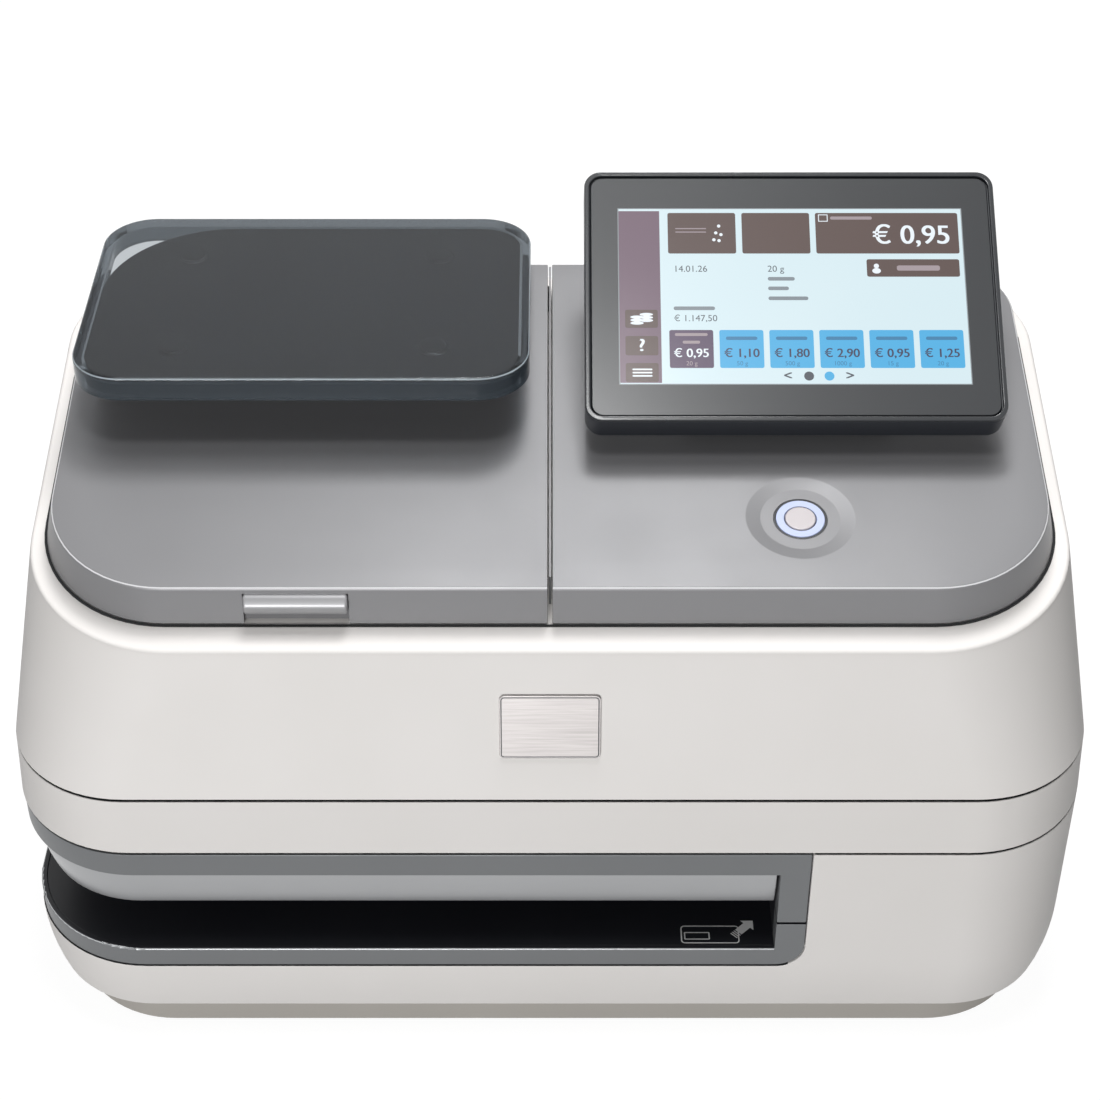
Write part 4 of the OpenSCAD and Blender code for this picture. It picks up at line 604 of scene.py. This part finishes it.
def makeLowerTrim():
    bm = softCopy("deck_lip", seams["trimRound"])
    low, high = seams["trimHighlightBand"]
    for face in bm.faces:
        height = face.calc_center_median().z
        # faces along the upper edge take the painted highlight; the rest of the top takes the letter bed's
        # black
        if face.normal.z > seams["edgeFacing"] and low < height < high:
            face.material_index = 2
        elif face.normal.z > seams["topFacing"] and height > low:
            face.material_index = 1
    return bm


casingFinish = [finish["casing"], finish["seamShade"]]
trimFinish = [finish["trim"], finish["deck"], finish["edge"]]
makePiece("lower_casing", makeLowerCasing(), casingFinish, "chassis", ["base_shell"])
makePiece("seam_band", makeSeamBand(), casingFinish, "chassis", ["middle_band"])
makePiece("lower_trim", makeLowerTrim(), trimFinish, "chassis", ["deck_lip"])
print("casing rings made")


# Bare plate on the front: a brushed field inside an engraved line, dark with painted shade

badge = {"width": 33.8, "height": 23.4, "corner": 1.7, "depth": 1.0, "lower": 2.2, "round": 0.15,
         "border": 0.45, "line": 0.4, "engraved": 0.2, "nodeRound": 0.05, "facing": 0.9}


# Place on the plate's CAD face, which leans with the casing wall
def badgePlace():
    node = softCopy("badge_plate", badge["nodeRound"])
    fronts = [face for face in node.faces if face.normal.y < -badge["facing"]]
    face = max(fronts, key=lambda front: front.calc_area())
    lean = math.atan2(face.normal.z, -face.normal.y)
    middle = Matrix.Translation(face.calc_center_median())
    node.free()
    upright = Matrix.Rotation(math.radians(90), 4, "X")
    lower = Matrix.Translation((0.0, -badge["lower"], 0.0))
    return middle @ Matrix.Rotation(-lean, 4, "X") @ upright @ lower


def makeBarePlate():
    bm = bmesh.new()
    place = badgePlace()
    size = (badge["width"], -badge["height"] / 2, badge["height"] / 2, badge["corner"], badge["corner"])
    field = badge["border"] + badge["line"]
    groove = badge["border"] + badge["line"] / 2
    rows = ((0.0, -badge["depth"]), (0.0, -badge["round"]), (badge["round"], 0.0), (badge["border"], 0.0),
            (groove, -badge["engraved"]), (field, 0.0))
    loops = insetLoops(bm, size, rows, lambda lift: place @ atHeight(lift), segments=8)
    strips = bridgeAll(bm, loops)
    for face in strips[3] + strips[4]:  # the engraved line, dark with painted shade
        face.material_index = 1
    for loop in (loops[0], loops[-1]):
        cap = bmesh.ops.contextual_create(bm, geom=loop)["faces"][0]
        cap.material_index = 0
    bmesh.ops.recalc_face_normals(bm, faces=bm.faces)
    return bm


# the engraved line takes the dark trim finish as painted shade
badgeFinish = [finish["badge"], finish["trim"]]
makePiece("bare_plate", makeBarePlate(), badgeFinish, "chassis", ["badge_plate"])


# Sign on the letter bed: a printed letter outline under an arrow with a striped tail

sign = {"z": 49.63, "line": 0.45, "letter": (46.9, 3.5, 67.9, 12.0), "letterCorner": 1.4,
        "window": (48.1, 5.3, 57.3, 8.9), "windowCorner": 0.4, "leastCorner": 0.05, "arrowLift": 0.03,
        "tip": (73.2, 14.4), "head": 4.6, "shaft": 3.2, "shaftLength": 4.6, "stripes": 3, "stripe": 0.45,
        "pitch": 0.85}


def addOutline(bm, left, front, right, back, radius):
    loops = []
    place = Matrix.Translation(((left + right) / 2, body["front"], sign["z"]))
    for inset in (0.0, sign["line"]):
        corner = max(radius - inset, sign["leastCorner"])
        loops.append(roundedLoop(bm, right - left - 2 * inset, front + inset, back - inset, corner, corner,
                                 place, segments=4))
    bridgeAll(bm, loops)


def addSheet(bm, outline, place):
    bm.faces.new([bm.verts.new(place @ Vector((x, y, 0.0))) for x, y in outline])


def makeSign():
    bm = bmesh.new()
    addOutline(bm, *sign["letter"], sign["letterCorner"])
    addOutline(bm, *sign["window"], sign["windowCorner"])
    tipX, tipY = sign["tip"]
    place = (Matrix.Translation((tipX, body["front"] + tipY, sign["z"] + sign["arrowLift"]))
             @ Matrix.Rotation(math.radians(45), 4, "Z"))
    neck = -sign["head"] / math.sqrt(2)
    tail = neck - sign["shaftLength"]
    half = sign["shaft"] / 2
    addSheet(bm, [(0, 0), (neck, -neck), (neck, neck)], place)
    spans = [(tail, neck)]
    for step in range(1, sign["stripes"] + 1):
        start = tail - step * sign["pitch"]
        spans.append((start, start + sign["stripe"]))
    for start, end in spans:
        addSheet(bm, [(start, -half), (end, -half), (end, half), (start, half)], place)
    bmesh.ops.recalc_face_normals(bm, faces=bm.faces)
    return bm


makePiece("letter_sign", makeSign(), [finish["ink"]], "chassis")
print("plate and sign made")


# Plate of the scale: a shallow upturned tray of cast acrylic

plate = {"x": -85.5, "width": 157.0, "front": 88.0, "back": 195.5, "radius": 18.0, "wall": 3.0,
         "height": 9.5, "edge": 1.3, "foot": 0.6, "fillet": 1.0}


acrylicLook = {"hazeMm": 30, "hazeDetail": 2.0, "rougher": 0.05, "ior": 1.25}


# Smoky acrylic: grey tinted sheet, clear and glossy on its face; less clear copies of it are painted shade
# on the wall and a painted highlight on the rim
def smokyAcrylic(name, colour, clearness, roughness):
    material, tree, shader = newMaterial(name)
    place = addNode(tree, "ShaderNodeTexCoord").outputs["Object"]
    haze = addNode(tree, "ShaderNodeTexNoise",
                   {"Scale": perMetre(acrylicLook["hazeMm"]), "Detail": acrylicLook["hazeDetail"]},
                   {"Vector": place})
    polish = addNode(tree, "ShaderNodeMapRange",
                     {"To Min": roughness, "To Max": roughness + acrylicLook["rougher"]},
                     {"Value": haze.outputs["Fac"]})
    tree.links.new(polish.outputs["Result"], shader.inputs["Roughness"])
    shader.inputs["Base Color"].default_value = linear(colour)
    shader.inputs["Transmission Weight"].default_value = clearness
    shader.inputs["IOR"].default_value = acrylicLook["ior"]
    return material


def makeScalePlate():
    bm = bmesh.new()
    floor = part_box("weighing_plate")[0][2] / mm
    size = (plate["width"], plate["front"], plate["back"], plate["radius"], plate["radius"])
    ceiling = plate["height"] - plate["wall"]
    outer = [(plate["foot"], 0.0), (0.0, plate["foot"])]
    outer += [(inset, plate["height"] + drop) for inset, drop in quarterRound(plate["edge"], 4)]
    inner = [(plate["wall"], 0.0), (plate["wall"], ceiling - plate["fillet"]),
             (plate["wall"] + plate["fillet"], ceiling)]

    def atPlate(height):
        return Matrix.Translation((plate["x"], body["front"], floor + height))

    outerLoops = insetLoops(bm, size, outer, atPlate, segments=14)
    strips = bridgeAll(bm, outerLoops)
    for face in strips[0] + strips[1]:  # the wall, in painted shade
        face.material_index = 1
    for face in strips[3]:  # the middle of the rounded rim, a painted highlight
        face.material_index = 2
    bmesh.ops.contextual_create(bm, geom=outerLoops[-1])
    innerLoops = insetLoops(bm, size, inner, atPlate, segments=14)
    bridgeAll(bm, innerLoops)
    bmesh.ops.contextual_create(bm, geom=innerLoops[-1])
    bmesh.ops.bridge_loops(bm, edges=outerLoops[0] + innerLoops[0])
    bmesh.ops.recalc_face_normals(bm, faces=bm.faces)
    return bm


acrylic = [smokyAcrylic("castAcrylicSmoky", "#b9bec2", 1.0, 0.02),
           smokyAcrylic("acrylicWallShaded", "#525b63", 0.6, 0.08),
           smokyAcrylic("acrylicRimHighlight", "#aab4bb", 0.3, 0.06)]
makePiece("scale_plate", makeScalePlate(), acrylic, "weighing_plate", ["weighing_plate"])


# Ring that lights up round the key: frosted PMMA with a faint cool glow

ring = {"node": "button_light_ring", "round": 0.3, "base": "#a3acc8", "tones": ("#b4c2f0", "#d8e1fa"),
        "frostMm": 2, "frostDetail": 2.0, "glow": 0.12, "roughness": 0.4}


def glowRing():
    material, tree, shader = newMaterial("frostedPmmaLit")
    tone = cloudyTones(tree, ring["tones"], ring["frostMm"], ring["frostDetail"])[0]
    tree.links.new(tone, shader.inputs["Emission Color"])
    shader.inputs["Base Color"].default_value = linear(ring["base"])
    shader.inputs["Emission Strength"].default_value = ring["glow"]
    shader.inputs["Roughness"].default_value = ring["roughness"]
    return material


ringShape = softCopy(ring["node"], ring["round"])
makePiece("key_ring", ringShape, [glowRing()], "chassis", [ring["node"]])
print("scale plate and key ring made")


# Display face: printed glass border, lit screen and what it shows

display = {"x": 84.0, "y": 82.7, "z": 221.8, "tilt": 32.0, "width": 144.0, "length": 95.5, "rim": 2.2,
           "glassTop": -0.7, "glassDepth": 2.0, "glassCorner": 4.2, "glassEdge": 0.3,
           "screenWidth": 120.0, "screenHeight": 67.0, "screenFoot": 14.0}
displayPlace = (Matrix.Translation((display["x"], body["front"] + display["y"], display["z"]))
                @ Matrix.Rotation(math.radians(display["tilt"]), 4, "X"))


def onGlass(lift):
    return displayPlace @ atHeight(display["glassTop"] + lift)


glass = {"tones": ("#1b1d20", "#232629"), "hazeMm": 60, "hazeDetail": 2.0, "roughness": 0.3, "coat": 0.25,
         "coatRoughness": 0.2}


# Printed touch glass: near black print under glass, with a soft gloss that greys it where light falls
def printedGlass():
    material, tree, shader = newMaterial("printedTouchGlass")
    tone = cloudyTones(tree, glass["tones"], glass["hazeMm"], glass["hazeDetail"])[0]
    tree.links.new(tone, shader.inputs["Base Color"])
    shader.inputs["Roughness"].default_value = glass["roughness"]
    shader.inputs["Coat Weight"].default_value = glass["coat"]
    shader.inputs["Coat Roughness"].default_value = glass["coatRoughness"]
    return material


def makeGlass():
    bm = bmesh.new()
    rim, edge = display["rim"], display["glassEdge"]
    size = (display["width"] - 2 * rim, rim, display["length"] - rim, display["glassCorner"],
            display["glassCorner"])
    loops = insetLoops(bm, size, ((0.0, -display["glassDepth"]), (0.0, -edge), (edge, 0.0)), onGlass)
    bridgeAll(bm, loops)
    for loop in (loops[0], loops[-1]):
        bmesh.ops.contextual_create(bm, geom=loop)
    bmesh.ops.recalc_face_normals(bm, faces=bm.faces)
    return bm


makePiece("touch_panel", makeGlass(), [printedGlass()], "display", ["touch_glass"])


lcd = {"patchMm": 70, "patchDetail": 1.0, "unlit": "#050505", "roughness": 0.25}


# Lit screen area: an even glow with a slow change of tone, under the gloss of the cover glass
def litScreen(name, colour, farColour, glow):
    material, tree, shader = newMaterial(name)
    tone = cloudyTones(tree, (colour, farColour), lcd["patchMm"], lcd["patchDetail"])[0]
    tree.links.new(tone, shader.inputs["Emission Color"])
    shader.inputs["Base Color"].default_value = linear(lcd["unlit"])
    shader.inputs["Emission Strength"].default_value = glow
    shader.inputs["Roughness"].default_value = lcd["roughness"]
    return material


screenFinish = {
    "edge": litScreen("lcdEdgeLine", "#8f979c", "#a3abb0", 0.8),
    "paper": litScreen("lcdPaleBlue", "#d6edf5", "#e2f3f8", 0.93),
    "side": litScreen("lcdPlum", "#6d5569", "#86707f", 0.85),
    "brown": litScreen("lcdBrown", "#65524d", "#5c4a47", 0.85),
    "violet": litScreen("lcdViolet", "#5d4b66", "#665470", 0.85),
    "blue": litScreen("lcdTileBlue", "#45aee4", "#56b7e8", 0.95),
    "ink": litScreen("lcdInk", "#5a5f68", "#50555e", 0.9),
    "faint": litScreen("lcdInkFaint", "#8d969e", "#858e96", 0.9),
    "tileInk": litScreen("lcdTileInk", "#3f4260", "#3a3d59", 0.9),
    "tileFaint": litScreen("lcdTileInkFaint", "#3c86b4", "#387fac", 0.9),
    "white": litScreen("lcdWhite", "#eef5fb", "#e6f0f8", 1.0),
    "whiteFaint": litScreen("lcdWhiteFaint", "#a99ba0", "#a1939a", 0.95),
}

# Places on the screen: across and down, as shares of its width and height
tilePitch = 0.1433
screenBlocks = {
    "edge": [(-0.003, -0.005, 1.003, 1.005)],
    "paper": [(0.0, 0.0, 1.0, 1.0)],
    "side": [(0.0, 0.012, 0.119, 0.995)],
    "brown": [(0.143, 0.023, 0.341, 0.26), (0.359, 0.023, 0.557, 0.26), (0.574, 0.023, 0.99, 0.26),
              (0.718, 0.293, 0.987, 0.394), (0.016, 0.583, 0.11, 0.686), (0.016, 0.732, 0.11, 0.841),
              (0.016, 0.884, 0.11, 0.99)],
    "violet": [(0.142, 0.698, 0.268, 0.912)],
    "blue": [(0.2855 + tilePitch * k, 0.698, 0.412 + tilePitch * k, 0.912) for k in range(5)],
}
screenLift = {"edge": 0.01, "paper": 0.02, "side": 0.04, "brown": 0.06, "violet": 0.06, "blue": 0.06,
              "marks": 0.08}
screenCorner = {"panel": 0.15, "tile": 0.7, "shareOfHeight": 0.45}
figure = {"shareOfSize": 0.7, "layer": 0.01}  # height of the built-in font's figures, and a step in lift


def screenPoint(across, down):
    return ((across - 0.5) * display["screenWidth"],
            display["screenFoot"] + (1.0 - down) * display["screenHeight"])


def addScreenBlock(bm, left, top, right, bottom, lift):
    x0, y0 = screenPoint(left, bottom)
    x1, y1 = screenPoint(right, top)
    corner = screenCorner["panel"] if lift < screenLift["brown"] else screenCorner["tile"]
    radius = min(corner, (y1 - y0) * screenCorner["shareOfHeight"])
    place = onGlass(lift) @ Matrix.Translation(((x0 + x1) / 2, 0, 0))
    edges = roundedLoop(bm, x1 - x0, y0, y1, radius, radius, place, segments=3)
    bmesh.ops.contextual_create(bm, geom=edges)


def addBar(bm, left, right, down, thickness):
    half = thickness / 2 / display["screenHeight"]
    addScreenBlock(bm, left, down - half, right, down + half, screenLift["marks"])


def addDot(bm, across, down, radius, stretch=1.0):
    x, y = screenPoint(across, down)
    dot = bmesh.ops.create_circle(bm, cap_ends=True, segments=24, radius=radius)["verts"]
    shape = Matrix.Translation((x, y, 0)) @ Matrix.Diagonal((1.0, stretch, 1.0, 1.0))
    bmesh.ops.transform(bm, matrix=onGlass(screenLift["marks"]) @ shape, verts=dot)


# Bold figures are drawn twice, a little apart
def addFigures(bm, figures, height, across, down, stroke=0.0):
    outline = bpy.data.curves.new("figures", "FONT")
    outline.body = figures
    outline.size = height / figure["shareOfSize"]
    outline.align_x = "CENTER"
    outline.align_y = "CENTER"
    carrier = bpy.data.objects.new("figures", outline)
    x, y = screenPoint(across, down)
    for layer, shift in enumerate((-stroke, stroke) if stroke else (0.0,)):
        lift = screenLift["marks"] + figure["layer"] * layer
        mesh = bpy.data.meshes.new_from_object(carrier)
        mesh.transform(onGlass(lift) @ Matrix.Translation((x + shift, y, 0)))
        bm.from_mesh(mesh)
        bpy.data.meshes.remove(mesh)
    bpy.data.objects.remove(carrier)
    bpy.data.curves.remove(outline)


def addFrameMark(bm, left, top, right, bottom, line):
    across, down = line / display["screenWidth"], line / display["screenHeight"]
    for block in ((left, top, right, top + down), (left, bottom - down, right, bottom),
                  (left, top, left + across, bottom), (right - across, top, right, bottom)):
        addScreenBlock(bm, *block, screenLift["marks"])


tiles = {"amounts": ("€ 0,95", "€ 1,10", "€ 1,80", "€ 2,90", "€ 0,95", "€ 1,25"), "amountHeight": 3.2,
         "amountDown": 0.83, "amountStroke": 0.09,
         "weights": ("20 g", "50 g", "500 g", "1000 g", "15 g", "20 g"), "weightHeight": 1.6,
         "weightDown": 0.887, "barDown": 0.745, "barHalf": 0.045, "barThickness": 1.3,
         "middles": [0.205] + [0.349 + tilePitch * k for k in range(5)]}
amountRows = [(amount, tiles["amountHeight"], middle, tiles["amountDown"], tiles["amountStroke"])
              for amount, middle in zip(tiles["amounts"], tiles["middles"])]
weightRows = [(weight, tiles["weightHeight"], middle, tiles["weightDown"])
              for weight, middle in zip(tiles["weights"], tiles["middles"])]
pages = {"down": 0.957, "radius": 1.7, "shown": 0.538, "next": 0.596}
preview = {"dots": ((0.292, 0.1), (0.283, 0.14), (0.298, 0.15), (0.277, 0.18), (0.292, 0.185)),
           "radius": 0.6}
account = {"head": (0.746, 0.332, 0.9), "shoulders": (0.746, 0.36, 1.5, 0.7)}
coins = {"stacks": ((0.05, 0.625), (0.077, 0.61)), "count": 3, "pitch": 0.017, "radius": 2.3,
         "stretch": 0.26}
menu = {"left": 0.035, "right": 0.092, "downs": (0.92, 0.938, 0.956), "thickness": 0.6}
coinRows = [(across, top + coins["pitch"] * step, coins["radius"], coins["stretch"])
            for across, top in coins["stacks"] for step in range(coins["count"])]

# What each ink draws, with sizes in millimetres. Figures: text, height, across, down, stroke. Bars: left,
# right, down, thickness. Dots: across, down, radius, stretch. Frames: left, top, right, bottom, line.
screenMarks = {
    "white": {
        "figures": [("€ 0,95", 7.2, 0.853, 0.156, 0.16), ("?", 4.6, 0.063, 0.787, 0.2), amountRows[0]],
        "bars": [(menu["left"], menu["right"], down, menu["thickness"]) for down in menu["downs"]],
        "dots": [(across, down, preview["radius"]) for across, down in preview["dots"]]
                + [account["head"], account["shoulders"]] + coinRows,
        "frames": [(0.583, 0.032, 0.611, 0.074, 0.3)],
    },
    "whiteFaint": {
        "figures": [weightRows[0]],
        "bars": [(0.165, 0.255, 0.115, 0.4), (0.165, 0.255, 0.135, 0.4), (0.618, 0.74, 0.053, 1.2),
                 (0.805, 0.93, 0.344, 2.0), (0.158, 0.252, 0.724, 1.1), (0.18, 0.23, 0.767, 1.1)],
    },
    "ink": {
        "figures": [("14.01.26", 2.4, 0.207, 0.35), ("20 g", 2.4, 0.454, 0.35),
                    ("€ 1.147,50", 2.4, 0.219, 0.633), ("<", 3.4, 0.478, pages["down"], 0.22),
                    (">", 3.4, 0.655, pages["down"], 0.22)],
        "dots": [(pages["shown"], pages["down"], pages["radius"])],
    },
    "faint": {
        "bars": [(0.43, 0.508, 0.406, 1.4), (0.43, 0.49, 0.461, 1.4), (0.43, 0.545, 0.518, 1.4),
                 (0.156, 0.275, 0.575, 1.4)],
    },
    "tileInk": {"figures": amountRows[1:]},
    "tileFaint": {
        "figures": weightRows[1:],
        "bars": [(middle - tiles["barHalf"], middle + tiles["barHalf"], tiles["barDown"],
                  tiles["barThickness"]) for middle in tiles["middles"][1:]],
    },
}
addMark = {"figures": addFigures, "bars": addBar, "dots": addDot, "frames": addFrameMark}

for kind, blocks in screenBlocks.items():
    bm = bmesh.new()
    for block in blocks:
        addScreenBlock(bm, *block, screenLift[kind])
    if kind == "blue":
        addDot(bm, pages["next"], pages["down"], pages["radius"])
    makePiece("screen_" + kind, bm, [screenFinish[kind]], "display")
for kind, marks in screenMarks.items():
    bm = bmesh.new()
    for form, rows in marks.items():
        for row in rows:
            addMark[form](bm, *row)
    makePiece("screen_marks_" + kind, bm, [screenFinish[kind]], "display")
print("display made")


# Every other CAD node keeps its shape and gets its own finish

carried = {
    "rubber_feet": "rubber", "cover_hinge_pins": "steel", "load_cell": "aluminium",
    "button_switch": "charcoal", "display_stand": "charcoal", "display_hinge_pin": "steel",
    "display_board": "board", "lcd_panel": "charcoal", "letter_fence": "deck", "print_guide": "inner",
    "letter_lever": "yellow", "lever_pin": "steel", "letter_switch": "charcoal", "pressure_plate": "inner",
    "lift_actuator": "aluminium", "rear_frame": "sheet", "left_bracket": "sheet", "right_bracket": "sheet",
    "carriage_rods": "steel", "print_carriage": "inner", "left_cartridge": "cartridge",
    "right_cartridge": "cartridge", "latch_pin": "steel", "left_latch": "blue", "right_latch": "blue",
    "carriage_motor": "motor", "drive_pulley": "aluminium", "idler_axle": "steel",
    "idler_pulley": "aluminium", "carriage_belt": "rubber", "cleaning_station": "station",
    "wiper_blade": "rubber", "main_board": "board", "power_supply": "sheet", "power_inlet": "charcoal",
    "data_ports": "charcoal",
}
for nodeName, finishName in carried.items():
    slots = nodes[nodeName].data.materials
    slots.clear()
    slots.append(finish[finishName])
print("carried nodes finished:", len(carried))


# Studio: a floor and a surround that look white, and soft lamps, in metres and watts

studio = {"floor": "#5c5c5b", "floorRoughness": 0.9, "floorGlow": 0.94, "floorSize": 3.0, "ambient": 0.06,
          "white": "#ffffff"}
lamps = {
    "topSoftbox": {"place": (0.06, 0.24, 1.2), "aim": (0.0, 0.0, 0.2), "size": (0.4, 0.5), "power": 9.2,
                   "gloss": False},
    "sheenSoftbox": {"place": (0.06, 0.33, 1.15), "aim": (0.04, -0.06, 0.19), "size": (0.2, 0.2),
                     "power": 3.4, "gloss": True},
    "frontSoftbox": {"place": (-0.35, -1.95, 0.42), "aim": (0.0, 0.0, 0.12), "size": (0.9, 0.7),
                     "power": 29.5, "gloss": True},
    "reflectorCard": {"place": (-0.03, -0.26, 1.3), "aim": (0.02, 0.0, 0.24), "size": (0.16, 0.16),
                      "power": 2.8, "gloss": True},
}


def addLamp(name, settings):
    data = bpy.data.lights.new(name, "AREA")
    data.shape = "RECTANGLE"
    data.size, data.size_y = settings["size"]
    data.energy = settings["power"]
    lamp = bpy.data.objects.new(name, data)
    lamp.location = settings["place"]
    aim = Vector(settings["aim"]) - Vector(settings["place"])
    lamp.rotation_euler = aim.to_track_quat("-Z", "Y").to_euler()
    lamp.visible_glossy = settings["gloss"]
    scene.collection.objects.link(lamp)


# High where the camera, a reflection or a clear piece sees the surface, and low for light that bounces
def seenStrength(tree, low, high):
    path = addNode(tree, "ShaderNodeLightPath")
    glossy = addNode(tree, "ShaderNodeMath", {"operation": "MAXIMUM"},
                     {0: path.outputs["Is Camera Ray"], 1: path.outputs["Is Glossy Ray"]})
    clear = addNode(tree, "ShaderNodeMath", {"operation": "MAXIMUM"},
                    {0: glossy.outputs[0], 1: path.outputs["Is Transmission Ray"]})
    strength = addNode(tree, "ShaderNodeMapRange", {"To Min": low, "To Max": high},
                       {"Value": clear.outputs[0]})
    return strength.outputs["Result"]


def makeFloor():
    bm = bmesh.new()
    bmesh.ops.create_grid(bm, x_segments=1, y_segments=1, size=studio["floorSize"])
    mesh = bpy.data.meshes.new("floor")
    bm.to_mesh(mesh)
    bm.free()
    material, tree, shader = newMaterial("paperSweep")
    shader.inputs["Base Color"].default_value = linear(studio["floor"])
    shader.inputs["Roughness"].default_value = studio["floorRoughness"]
    shader.inputs["Emission Color"].default_value = linear(studio["white"])
    tree.links.new(seenStrength(tree, 0.0, studio["floorGlow"]), shader.inputs["Emission Strength"])
    mesh.materials.append(material)
    floor = bpy.data.objects.new("floor", mesh)
    scene.collection.objects.link(floor)


def makeWorld():
    world = bpy.data.worlds.new("studio")
    world.use_nodes = True
    tree = world.node_tree
    background = tree.nodes["Background"]
    background.inputs["Color"].default_value = linear(studio["white"])
    tree.links.new(seenStrength(tree, studio["ambient"], 1.0), background.inputs["Strength"])
    scene.world = world


makeFloor()
makeWorld()
for lampName, settings in lamps.items():
    addLamp(lampName, settings)
scene.view_settings.view_transform = "Standard"
print("studio made")
